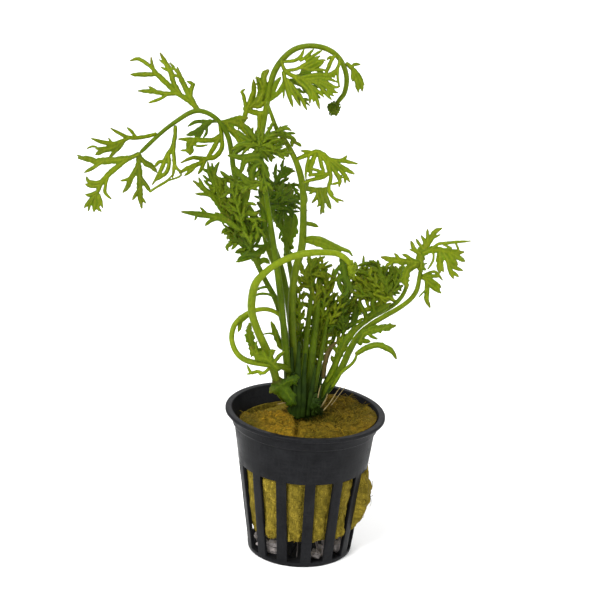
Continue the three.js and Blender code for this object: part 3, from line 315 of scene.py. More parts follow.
def useGroup(tree, group, **values):
    node = tree.nodes.new("ShaderNodeGroup")
    node.node_tree = group
    for title, value in values.items():
        node.inputs[title.replace("_", " ")].default_value = value
    return node


def newMaterial(name, roughness, specular=0.5):
    material = bpy.data.materials.new(name)
    material.use_nodes = True
    tree = material.node_tree
    shader = tree.nodes["Principled BSDF"]
    shader.inputs["Roughness"].default_value = roughness
    shader.inputs["Specular IOR Level"].default_value = specular
    return material, tree, shader


def bump(tree, shader, height, strength, distance):
    node = tree.nodes.new("ShaderNodeBump")
    node.inputs["Strength"].default_value = strength
    node.inputs["Distance"].default_value = distance
    tree.links.new(height, node.inputs["Height"])
    tree.links.new(node.outputs[0], shader.inputs["Normal"])


def tissueMaterial(name, look):
    # living leaf or stipe: deep and fresh greens, paler ribs, darker margins, tips that yellow
    material, tree, shader = newMaterial(name, look["roughness"], look["specular"])
    spots = useGroup(tree, mottle, Size=look["spotSize"], Detail=4.0, Contrast=2.4)
    fine = useGroup(tree, mottle, Size=look["grainSize"], Detail=3.0, Contrast=2.0)
    veins = useGroup(tree, streaks, Width=look["veinWidth"], Stretch=look["veinStretch"])
    shape = useGroup(tree, growth, Margin_Width=look["marginWidth"])
    along = shape.outputs["Along"]
    fresh = mathNode(tree, "MULTIPLY", along, look["freshTip"])
    broad = mathNode(tree, "MULTIPLY", spots.outputs["Mask"], look["spots"])
    share = mathNode(tree, "ADD", broad, fresh, clamp=True)
    colour = mixNode(tree, share, look["deep"], look["fresh"])
    colour = tint(tree, colour, fine.outputs["Mask"], look["grain"], look["pale"])
    colour = tint(tree, colour, shape.outputs["Rib"], look["rib"], look["pale"])
    colour = tint(tree, colour, shape.outputs["Margin"], look["margin"], look["edge"])
    colour = tint(tree, colour, veins.outputs["Mask"], look["veins"], look["deep"])
    tip = mathNode(tree, "POWER", along, look["tipPower"])
    tip = mathNode(tree, "MULTIPLY", tip, spots.outputs["Mask"])
    colour = tint(tree, colour, tip, look["brownTip"], look["brown"])
    low = mathNode(tree, "POWER", mathNode(tree, "SUBTRACT", 1.0, along), look["footPower"])
    colour = tint(tree, colour, low, look["foot"], look["edge"])
    tree.links.new(colour, shader.inputs["Base Color"])
    uneven = mathNode(tree, "MULTIPLY", fine.outputs["Mask"], look["unevenGloss"])
    gloss = mathNode(tree, "ADD", uneven, look["roughness"])
    tree.links.new(gloss, shader.inputs["Roughness"])
    shader.inputs["Subsurface Weight"].default_value = look["glow"]
    shader.inputs["Subsurface Radius"].default_value = look["glowReach"]
    shader.inputs["Subsurface Scale"].default_value = look["glowScale"]
    height = mathNode(tree, "ADD", veins.outputs["Mask"], fine.outputs["Height"])
    bump(tree, shader, height, look["relief"], look["reliefDepth"])
    return material


leafLook = {
    "deep": (0.032, 0.056, 0.0004),
    "fresh": (0.12, 0.157, 0.0011),
    "pale": (0.195, 0.232, 0.007),
    "edge": (0.03, 0.052, 0.0004),
    "brown": (0.09, 0.05, 0.012),
    "spotSize": 0.009,
    "spots": 0.75,
    "grainSize": 0.0011,
    "grain": 0.3,
    "veinWidth": 0.0007,
    "veinStretch": (1.0, 1.0, 0.35),
    "veins": 0.22,
    "marginWidth": 0.35,
    "freshTip": 0.35,
    "rib": 0.55,
    "margin": 0.45,
    "foot": 0.0,
    "footPower": 5.0,
    "brownTip": 0.7,
    "tipPower": 9.0,
    "roughness": 0.42,
    "unevenGloss": 0.2,
    "specular": 0.08,
    "glow": 0.2,
    "glowReach": (0.6, 1.0, 0.12),
    "glowScale": 0.0016,
    "relief": 0.35,
    "reliefDepth": 0.00025,
}
stemLook = {"edge": (0.009, 0.022, 0.001), "margin": 0.25, "foot": 0.75, "brownTip": 0.0, "rib": 0.0}
# Lighter and darker copies of one leaf colour and one stem colour, given to each piece by how much light
# it gets: painted light on the outer fronds, the curled stems and the crowded centre leaves, and painted
# shade, darkest in shadeLeaf, on pieces deep in the plant. Withered is the dead leaf's own colour
tones = {
    "litLeaf": {},
    "lightlyShadedLeaf": {
        "deep": (0.023, 0.048, 0.0003),
        "fresh": (0.093, 0.14, 0.0008),
        "pale": (0.165, 0.205, 0.006),
    },
    "halfShadedLeaf": {
        "deep": (0.018, 0.042, 0.0003),
        "fresh": (0.074, 0.112, 0.0006),
        "pale": (0.13, 0.172, 0.004),
    },
    "shadeLeaf": {
        "deep": (0.008, 0.025, 0.0003),
        "fresh": (0.042, 0.073, 0.0006),
        "pale": (0.085, 0.125, 0.003),
    },
    "litStem": {
        **stemLook,
        "deep": (0.066, 0.108, 0.001),
        "fresh": (0.156, 0.205, 0.0035),
        "pale": (0.245, 0.285, 0.016),
    },
    "lightlyShadedStem": {
        **stemLook,
        "deep": (0.036, 0.066, 0.0006),
        "fresh": (0.106, 0.146, 0.002),
        "pale": (0.17, 0.212, 0.009),
    },
    "shadedStem": {
        **stemLook,
        "deep": (0.024, 0.047, 0.0004),
        "fresh": (0.077, 0.121, 0.0011),
        "pale": (0.126, 0.174, 0.005),
    },
    "withered": {
        "deep": (0.03, 0.02, 0.006),
        "fresh": (0.075, 0.055, 0.012),
        "pale": (0.13, 0.1, 0.03),
    },
}
plantFinish = {name: tissueMaterial(name, {**leafLook, **change}) for name, change in tones.items()}
print("plant materials made")

# How every leaf blade is laid out (millimetres)
blade = {
    "cell": 0.2,
    "leastHalfWidth": 0.2,
    "fullness": 0.09,
    "web": 0.34,
    "edgeRound": 0.4,
    "thickness": 0.26,
    "ribHeight": 0.16,
    "ribWidth": 0.22,
    "cup": 0.3,
    "flutter": 0.22,
    "torn": 0.2,
    "featherFrom": 1.8,
    "rachisShare": 0.34,
    "lobeWidth": 0.84,
    "lobeStep": 1.75,
    "lobeReach": 2.3,
    "forkFrom": 2.2,
    "forkShare": 0.4,
    "sway": 0.34,
    "room": 3.2,
    "near": 3,
    "grownAlong": 0.45,
}


def lobeWidth(part):
    # share of a lobe's full width from foot to tip
    return np.interp(part, [0, 0.15, 0.45, 0.7, 0.88, 1], [0.88, 1.0, 1.15, 1.08, 0.8, 0.28])


def nearLobe(axis, gridX, gridZ):
    # distance to a lobe's axis, and the share of its length there
    best = np.full(gridX.shape, 99.0)
    part = np.zeros(gridX.shape)
    lengths = np.linalg.norm(np.diff(axis, axis=0), axis=1)
    before = np.r_[0, np.cumsum(lengths)]
    for k, length in enumerate(lengths):
        step = (axis[k + 1] - axis[k]) / length
        fromX = gridX - axis[k, 0]
        fromZ = gridZ - axis[k, 1]
        t = np.clip(fromX * step[0] + fromZ * step[1], 0, length)
        distance = np.hypot(fromX - t * step[0], fromZ - t * step[1])
        nearer = distance < best
        best = np.where(nearer, distance, best)
        part = np.where(nearer, (before[k] + t) / before[-1], part)
    return best, part, before[-1]


def featherLobes(feather, rng):
    # a rachis with narrow pointed lobes on both sides, as a finely divided leaflet has
    axis = smoothPath(np.reshape(feather[1:], (-1, 2)), 0.5)
    headings = np.gradient(axis, axis=0)
    headings /= np.linalg.norm(headings, axis=1)[:, None]
    gap = np.linalg.norm(axis[1] - axis[0])
    length = gap * (len(axis) - 1)
    lobes = [(feather[0] * blade["rachisShare"], *feather[1:])]
    side = 1 if rng.uniform() < 0.5 else -1
    at = rng.uniform(0.5, 1.3)
    while at < length - 0.4:
        k = int(at / gap)
        across = side * np.array((-headings[k][1], headings[k][0]))
        part = at / length
        reach = (feather[0] / 2 + blade["lobeReach"]) * rng.uniform(0.7, 1.15)
        reach *= (1 - 0.5 * part**2) * smoothStep(part, -0.3, 0.25)
        lean = rng.uniform(0.7, 1.35)
        middle = axis[k] + (0.5 * across + 0.5 * lean * headings[k]) * reach * 0.6
        tip = axis[k] + (0.66 * across + (lean + 0.1) * headings[k]) * reach
        width = blade["lobeWidth"] * rng.uniform(0.8, 1.2)
        lobes.append((width, *axis[k], *middle, *tip))
        if reach > blade["forkFrom"]:
            fork = middle + (0.75 * across + 0.2 * headings[k]) * reach * blade["forkShare"]
            inner = middle + (0.1 * across + 0.9 * headings[k]) * reach * blade["forkShare"]
            lobes.append((0.75 * width, *middle, *fork))
            lobes.append((0.75 * width, *middle, *inner))
        at += blade["lobeStep"] * rng.uniform(0.7, 1.3)
        side = -side
    return lobes


def addLeaf(sheaf, leaf, seed, leastAlong=0.0):
    # one blade for the plain lobes, and one for each divided leaflet, which stands off the others
    rng = np.random.default_rng(seed + 300)
    divides = leaf.get("feathered") or leaf.get("inner")
    split = blade["featherFrom"] if divides else math.inf
    plain = [stroke for stroke in leaf["strokes"] if stroke[0] < split]
    divided = [stroke for stroke in leaf["strokes"] if stroke[0] >= split]
    foot = leaf["strokes"][0][1:3]
    if plain:
        addBlade(sheaf, plain, leaf["depth"], foot, 0.0, seed, leastAlong)
    for number, stroke in enumerate(divided):
        sway = blade["sway"] * math.sin(2.4 * number + seed)
        lobes = featherLobes(stroke, rng)
        addBlade(sheaf, lobes, leaf["depth"], foot, sway, seed + 11 * number, leastAlong)


def addBlade(sheaf, strokes, leafDepth, foot, sway, seed, leastAlong):
    # lobes melted together on a fine grid: its rim is the outline, and the rest has two sides
    axes = [smoothPath(np.reshape(stroke[1:], (-1, 2)), 0.7) for stroke in strokes]
    everyPoint = np.vstack(axes)
    cell = blade["cell"]
    low = everyPoint.min(0) - blade["room"]
    size = np.ceil((everyPoint.max(0) + blade["room"] - low) / cell).astype(int) + 1
    gridX = low[0] + cell * np.arange(size[0])
    gridZ = low[1] + cell * np.arange(size[1])
    gridX, gridZ = np.meshgrid(gridX, gridZ)
    flat = np.stack([gridX.ravel(), gridZ.ravel(), np.zeros(gridX.size)], 1)
    notches = waves(flat, 1.9, seed + 60, 7).reshape(gridX.shape)
    field = np.full(gridX.shape, 9.0)
    ribNear = np.full(gridX.shape, 99.0)
    halfHere = np.ones(gridX.shape)
    along = np.zeros(gridX.shape)
    bend = np.zeros(gridX.shape)
    weights = np.full(gridX.shape, 1e-12)
    for index, (stroke, axis) in enumerate(zip(strokes, axes)):
        (lowX, lowZ), (highX, highZ) = axis.min(0) - blade["near"], axis.max(0) + blade["near"]
        near = (gridX > lowX) & (gridX < highX) & (gridZ > lowZ) & (gridZ < highZ)
        rows, columns = np.where(near)
        window = (slice(rows.min(), rows.max() + 1), slice(columns.min(), columns.max() + 1))
        distance, part, length = nearLobe(axis, gridX[window], gridZ[window])
        spread = stroke[0] / 2 * lobeWidth(part) + blade["fullness"]
        torn = blade["torn"] * smoothStep(stroke[0], 1.4, 3.0) + 0.07
        half = np.maximum(spread * (1 + torn * notches[window]), blade["leastHalfWidth"])
        lobe = distance - half
        old = field[window]
        blendShare = np.clip(0.5 + 0.5 * (old - lobe) / blade["web"], 0, 1)
        joined = old * (1 - blendShare) + lobe * blendShare
        field[window] = joined - blade["web"] * blendShare * (1 - blendShare) * 0.5
        closer = distance < ribNear[window]
        ribNear[window] = np.where(closer, distance, ribNear[window])
        halfHere[window] = np.where(closer, half, halfHere[window])
        along[window] = np.where(closer, part, along[window])
        weight = np.exp(-distance / 0.5)
        curl = 0.11 * length * math.sin(1.7 * index)
        weights[window] += weight
        bend[window] += weight * curl * part**2
    start, leanX, leanZ = leafDepth
    depth = start + leanX * (gridX - foot[0]) + leanZ * (gridZ - foot[1]) + bend / weights
    depth += sway * np.hypot(gridX - strokes[0][1], gridZ - strokes[0][2])
    cup = blade["cup"] * (1 if seed % 2 else -1)
    depth += cup * np.minimum(ribNear / halfHere, 1.3) ** 2 * halfHere * 0.6
    depth += blade["flutter"] * waves(flat, 5.5, seed).reshape(gridX.shape)

    centre = (field[:-1, :-1] + field[1:, :-1] + field[:-1, 1:] + field[1:, 1:]) / 4
    inside = centre < 0
    for _ in range(3):
        slant = inside[:-1, :-1] & inside[1:, 1:] & ~inside[1:, :-1] & ~inside[:-1, 1:]
        other = ~inside[:-1, :-1] & ~inside[1:, 1:] & inside[1:, :-1] & inside[:-1, 1:]
        inside[1:, :-1] |= slant
        inside[:-1, :-1] |= other
    around = np.zeros(field.shape, int)
    for dz in (0, 1):
        for dx in (0, 1):
            around[dz : dz + inside.shape[0], dx : dx + inside.shape[1]] += inside
    used = around > 0
    rim = used & (around < 4)
    slopeZ, slopeX = np.gradient(field, cell)
    steep = slopeX**2 + slopeZ**2 + 0.05
    most = 0.8 * cell
    moveX = np.where(rim, np.clip(-field * slopeX / steep, -most, most), 0)
    moveZ = np.where(rim, np.clip(-field * slopeZ / steep, -most, most), 0)
    inward = 1 - np.exp(np.minimum(field, 0) / blade["edgeRound"])
    ridge = blade["ribHeight"] * np.exp(-((ribNear / blade["ribWidth"]) ** 2)) * (1 - 0.6 * along)
    thick = np.where(rim, 0, (0.06 + blade["thickness"] * inward + ridge))
    margin = np.where(rim, 1.0, np.exp(field / 0.25))
    rib = np.exp(-((ribNear / 0.3) ** 2)) * (1 - 0.7 * along)

    upper = -np.ones(field.shape, int)
    upper[used] = np.arange(used.sum())
    inner = used & ~rim
    lower = upper.copy()
    lower[inner] = used.sum() + np.arange(inner.sum())
    front = place((gridX + moveX)[used], (gridZ + moveZ)[used], (depth - thick)[used])
    back = place(gridX[inner], gridZ[inner], (depth + thick * 0.7)[inner])
    zs, xs = np.where(inside)
    corners = [(zs, xs), (zs, xs + 1), (zs + 1, xs + 1), (zs + 1, xs)]
    frontFaces = np.stack([upper[corner] for corner in corners], 1)
    backFaces = np.stack([lower[corner] for corner in corners[::-1]], 1)
    marks = np.stack([margin, rib, leastAlong + (1 - leastAlong) * along], -1)
    sheaf.add(
        np.vstack([front, back]),
        np.vstack([frontFaces, backFaces]),
        np.vstack([marks[used], marks[inner]]),
    )


def addBud(sheaf, bud):
    # tight fiddlehead: a lumpy knot with small half-open lobes around it
    x, z, depth, width, height = bud
    rng = np.random.default_rng(9)
    centre = place(x, z, depth)
    points, faces = ballShape(4)
    lumps = 0.9 + 0.1 * waves(points, 0.8, 3) + 0.05 * waves(points, 0.3, 5)
    half = np.array([width, width, height]) / 2
    sheaf.add(centre + points * half * lumps[:, None], faces, (0.35, 0.0, 0.5))
    for _ in range(46):
        out = rng.normal(size=3)
        out /= np.linalg.norm(out)
        side = np.cross(out, rng.normal(size=3))
        side /= np.linalg.norm(side)
        reach = rng.uniform(0.5, 1.1)
        t = np.linspace(0, 1, 6)[:, None]
        line = centre + out * half * 0.85 + out * reach * np.sin(t * 2.2) * 0.7
        line = line + side * reach * t**2 * 0.8
        addTube(sheaf, line, np.linspace(0.3, 0.1, 6), sides=6, marks=(0.5, 0))


def growStem(stem, grownOn=(), hasNode=True):
    # the stipe with its bud and the leaves that are one piece with it
    sheaf = Sheaf()
    line = smoothPath(place(*np.transpose(stem["path"])), 0.8)
    part = np.linspace(0, 1, len(line))
    radii = np.interp(part, np.linspace(0, 1, len(stem["radius"])), stem["radius"])
    radii = radii * (1 + 0.05 * waves(line, 9, 3, 4))
    radii *= np.interp(np.arange(len(line))[::-1], [0, 1, 2, 3], [0.35, 0.78, 0.95, 1.0])
    addTube(sheaf, line, radii, sides=16, ribs=8, ribDepth=0.05)
    if "bud" in stem:
        addBud(sheaf, stem["bud"])
    for number, leaf in enumerate(grownOn):
        addLeaf(sheaf, leaf, 40 + number, blade["grownAlong"])
    nodes = [stem["name"]] if hasNode else []
    sheaf.build(stem["name"] + "_stipe", plantFinish[stem["finish"]], "stem", *nodes)


def growLeaves(leaves, usualFinish):
    # one mesh for each leaf; an inner leaf is fine foliage that has no node of its own
    for number, (name, leaf) in enumerate(leaves.items()):
        sheaf = Sheaf()
        addLeaf(sheaf, leaf, number + 7)
        finish = leaf.get("finish", usualFinish)
        slotName = "withered" if finish == "withered" else "leaf"
        nodes = [] if leaf.get("inner") else [name]
        sheaf.build(name + "_blade", plantFinish[finish], slotName, *nodes)


def growFrond(stem, usualFinish, leaves):
    grownOn = [leaf for leaf in leaves.values() if leaf.get("onStem")]
    growStem(stem, grownOn)
    growLeaves({k: leaf for k, leaf in leaves.items() if not leaf.get("onStem")}, usualFinish)


# A leaf is drawn as strokes of a width and its x and z positions. Its depth is that of its foot, and
# what it gains for each millimetre across and up. A frond is its stem, its leaves' usual finish and
# its leaves: those on the stem are one piece with it, and a feathered one has finely divided lobes
leftStem = {
    "name": "left_frond_stem",
    "finish": "shadedStem",
    "radius": (1.15, 1, 0.65),
    "path": [
        (-0.2, 48.6, 2.2), (-1.5, 55, 2.2), (-2.8, 62, 2.6), (-4.3, 71, 3), (-7, 88.3, 4),
        (-10.4, 101.2, 4.6), (-14.3, 109.9, 5), (-19.8, 117.7, 5.4), (-23.9, 124.2, 5.8),
        (-26.1, 131.4, 6), (-27, 137, 6), (-28.3, 142.5, 6), (-31.3, 147.2, 6), (-35.4, 149.9, 5.8),
        (-39.7, 150, 5.4), (-45, 146.6, 4.6), (-50.2, 142.2, 3.6), (-56.6, 135.6, 2),
    ],
}
leftLeaves = {
    "left_frond_leaflet_7": {"onStem": True, "depth": (6.6, -0.3, -0.35), "strokes": [
        (1, -32.2, 147.2, -35.4, 147, -38.9, 146.7, -41.1, 145.2),
        (1.7, -34.2, 147, -36.3, 145.2, -38.6, 143.3, -41.4, 142.3),
        (1.9, -36, 145.4, -37.7, 142.9, -38.6, 141.1), (0.7, -35.3, 146, -35.2, 143.4, -36.2, 141.6),
    ]},
    "left_frond_leaflet_1": {"depth": (5.6, 0.45, 0.6), "strokes": [
        (1.5, -37.7, 150.4, -40.8, 153.2, -45, 156, -49.9, 160.2, -52.5, 163, -53.3, 166.6),
        (1, -52.2, 162.6, -54.6, 164.7, -57.4, 166.1, -59.8, 165.4),
        (1.3, -51.4, 161.5, -54.2, 161.3, -59.6, 161),
        (1.3, -44.6, 155.7, -48.4, 155.4, -52.6, 155.9, -57.1, 155.9),
        (0.8, -47.9, 155.2, -49.9, 153.8, -53.8, 152.2),
        (1.5, -38.6, 151.3, -40.5, 154.4, -42.6, 158.2, -44.4, 162, -44.9, 163.9),
        (1.1, -40.5, 154.5, -40.4, 157, -39.9, 158.8, -41.7, 159.6),
        (1.4, -43.9, 155.6, -46, 159, -46.9, 162.2, -48.3, 164.6, -50.4, 168.2),
        (0.7, -44.1, 161.2, -47.2, 165.3), (0.8, -43.6, 160.4, -45, 161.2, -46.8, 161.6),
        (0.7, -51, 155.9, -53.9, 157.4), (0.5, -47.2, 162.4, -50.1, 163.8),
        (0.5, -48.2, 164.3, -50.6, 166.1),
    ]},
    "left_frond_leaflet_2": {"depth": (3.2, 0.6, -0.2), "strokes": [
        (1.1, -51.6, 142.2, -53.8, 141.4, -57.3, 140.7, -60.6, 140.8, -63.4, 142.1, -65.8, 143.4),
        (0.8, -57.7, 140.9, -59.1, 142.6, -60.6, 143.9),
        (1.2, -59.9, 140.6, -62.3, 139.4, -64.7, 138.4, -68.4, 138.8, -71.9, 139.8),
        (1.7, -62.5, 139.2, -65, 137.2, -68, 136.4, -70.5, 136.6),
        (1.4, -66.5, 136.8, -68.8, 135.7, -70.6, 134.6),
        (1.2, -61.6, 139.5, -63.2, 137.3, -64.7, 135.7, -66.3, 133.6),
        (0.5, -65.4, 138.6, -66.5, 140.2), (0.5, -69.8, 136.8, -71.6, 137.3, -73.4, 136.5),
    ]},
    "left_frond_leaflet_3": {"depth": (2, -0.35, 0.2), "strokes": [
        (1.5, -57, 135.3, -61.1, 133.1, -64.4, 130.2, -67.9, 126.7, -69.7, 123.2, -70.7, 119.8),
        (2.1, -59.8, 133.9, -63, 133.2, -66.5, 132.8, -70.6, 132.5, -73.6, 133.2, -76, 133.3),
        (1, -68.6, 132.4, -70.9, 130.6, -74.2, 128.6),
        (1.2, -68.4, 126, -70.6, 125.3, -73, 125.8, -73.5, 127.1),
        (1.3, -69.2, 124.5, -71.8, 124.2, -73.8, 124.7),
        (1.1, -70.1, 122.4, -72.1, 121.2, -73.8, 121.2),
        (1.1, -70.6, 121.4, -72.1, 119.7, -74.2, 116.9), (0.8, -71.3, 120.4, -72.4, 118.1, -73, 115.8),
        (1.4, -70.5, 121.3, -70.9, 118.5, -71.1, 115.8),
        (1, -70, 120.9, -69.5, 118.7, -69.9, 117, -68.8, 115.9),
        (0.8, -69.4, 121.4, -68.8, 118.9, -68.3, 117.1),
        (0.9, -66.7, 127.3, -67.4, 124.7, -67.5, 122.2, -65.6, 120.2), (0.5, -74, 133.2, -76.6, 134.2),
    ]},
    "left_frond_leaflet_4": {"depth": (2.2, 0.3, -0.55), "strokes": [
        (1.7, -56.6, 134.9, -56.8, 132, -56.4, 128, -56.3, 124, -56.1, 120.6, -55.6, 117.7),
        (1.5, -56.9, 132, -58.1, 129.3, -59.4, 127, -60.2, 124.6, -61.7, 122.6),
        (1.2, -56.3, 128.2, -55.1, 126.3, -52.8, 123.1),
        (0.9, -56.5, 124.1, -57.5, 122.2, -58.6, 120.2),
        (1.6, -56.5, 134.4, -54.5, 132.5, -52.7, 131.7, -51, 129.8),
        (0.7, -59, 127.8, -60.8, 126.8, -62.5, 126.3), (0.7, -56, 121.4, -54.4, 119.3),
    ]},
    "left_frond_leaflet_5": {"depth": (4.4, 0.3, 0.7), "strokes": [
        (1.2, -45.2, 144.8, -45.3, 141.4, -46.2, 137.8, -48.2, 134.2, -49.5, 130.6, -52.2, 125.6),
        (1.04, -45.4, 139.8, -45.6, 136.3, -45.3, 132.6, -45.8, 128.2),
        (0.88, -48.6, 133.6, -50.4, 133, -51.6, 131.4),
        (1.12, -47.2, 135.9, -47, 132.6, -48, 129.6, -51.4, 126.8),
        (0.72, -45.4, 132.8, -44, 130.8, -42.6, 130.2),
        (0.64, -53, 123.2, -50.8, 124.8, -47.8, 126.8, -46, 128.9),
        (0.48, -47.6, 127, -44.8, 128, -43, 129.2, -44, 130.9),
    ]},
    "left_frond_leaflet_6": {"depth": (6.2, 0.5, 0.3), "strokes": [
        (1.3, -30.9, 146.2, -30.4, 142.4, -30.2, 138.6, -32.2, 135.7, -35.4, 134.8, -39.4, 135, -43.1,
         133.2),
        (1.4, -30.6, 143, -32.6, 141.3, -36, 140.8, -40.2, 140.9, -44, 140.9),
        (2.3, -39, 140.8, -40.3, 138.8, -40.3, 136.1), (0.6, -39.8, 139.4, -37.4, 138.9, -34.8, 139.4),
        (1.3, -31, 141.9, -32.4, 139.2, -34.8, 135.2),
        (1.3, -34.6, 135, -37.2, 133.2, -40.6, 131.6, -43.6, 129.8),
        (1, -35.4, 134.3, -36.3, 132, -37.5, 129.8), (0.9, -38, 133, -39.6, 131, -41.9, 129),
        (0.6, -40.6, 137.4, -43.3, 137.2),
    ]},
    "left_frond_leaflet_8": {"depth": (6.6, 0.7, 0.3), "strokes": [
        (1.9, -29.4, 146.4, -27.4, 147.4, -25, 148.3, -22.4, 148.7),
        (1.9, -28.8, 146.6, -26.9, 144.2, -24.6, 142.3, -21.8, 140.4),
        (1.9, -27.8, 147.2, -25, 146.6, -22.4, 144.6, -20.2, 141.8),
        (1.5, -24.6, 148.3, -23.6, 146, -21.6, 143.4), (1, -26.4, 143.8, -25, 141.4, -24.2, 139.6),
        (1.5, -30.2, 147, -26, 147.2, -23.4, 145, -20.4, 142.6),
        (1.3, -28.2, 144.6, -25.4, 143.9, -23.6, 141.7, -21.4, 140.4),
        (1.1, -26.8, 138.1, -24.9, 139.7, -22.1, 140.4),
    ]},
    "left_frond_inner_leaf": {"inner": True, "finish": "halfShadedLeaf", "depth": (5.8, 0.2, 0.1), "strokes": [
        (2.4, -23.9, 124.4, -22.4, 126.8, -19.4, 126.8, -17.4, 126.6),
        (2.4, -24, 125.6, -25, 122.6, -24, 119.4, -22.8, 116.6),
        (1.8, -23, 126.4, -25.2, 128.4, -26.6, 130), (1.6, -22.8, 126.6, -23.2, 123.4, -22.9, 120.6),
    ]},
}
growFrond(leftStem, "litLeaf", leftLeaves)

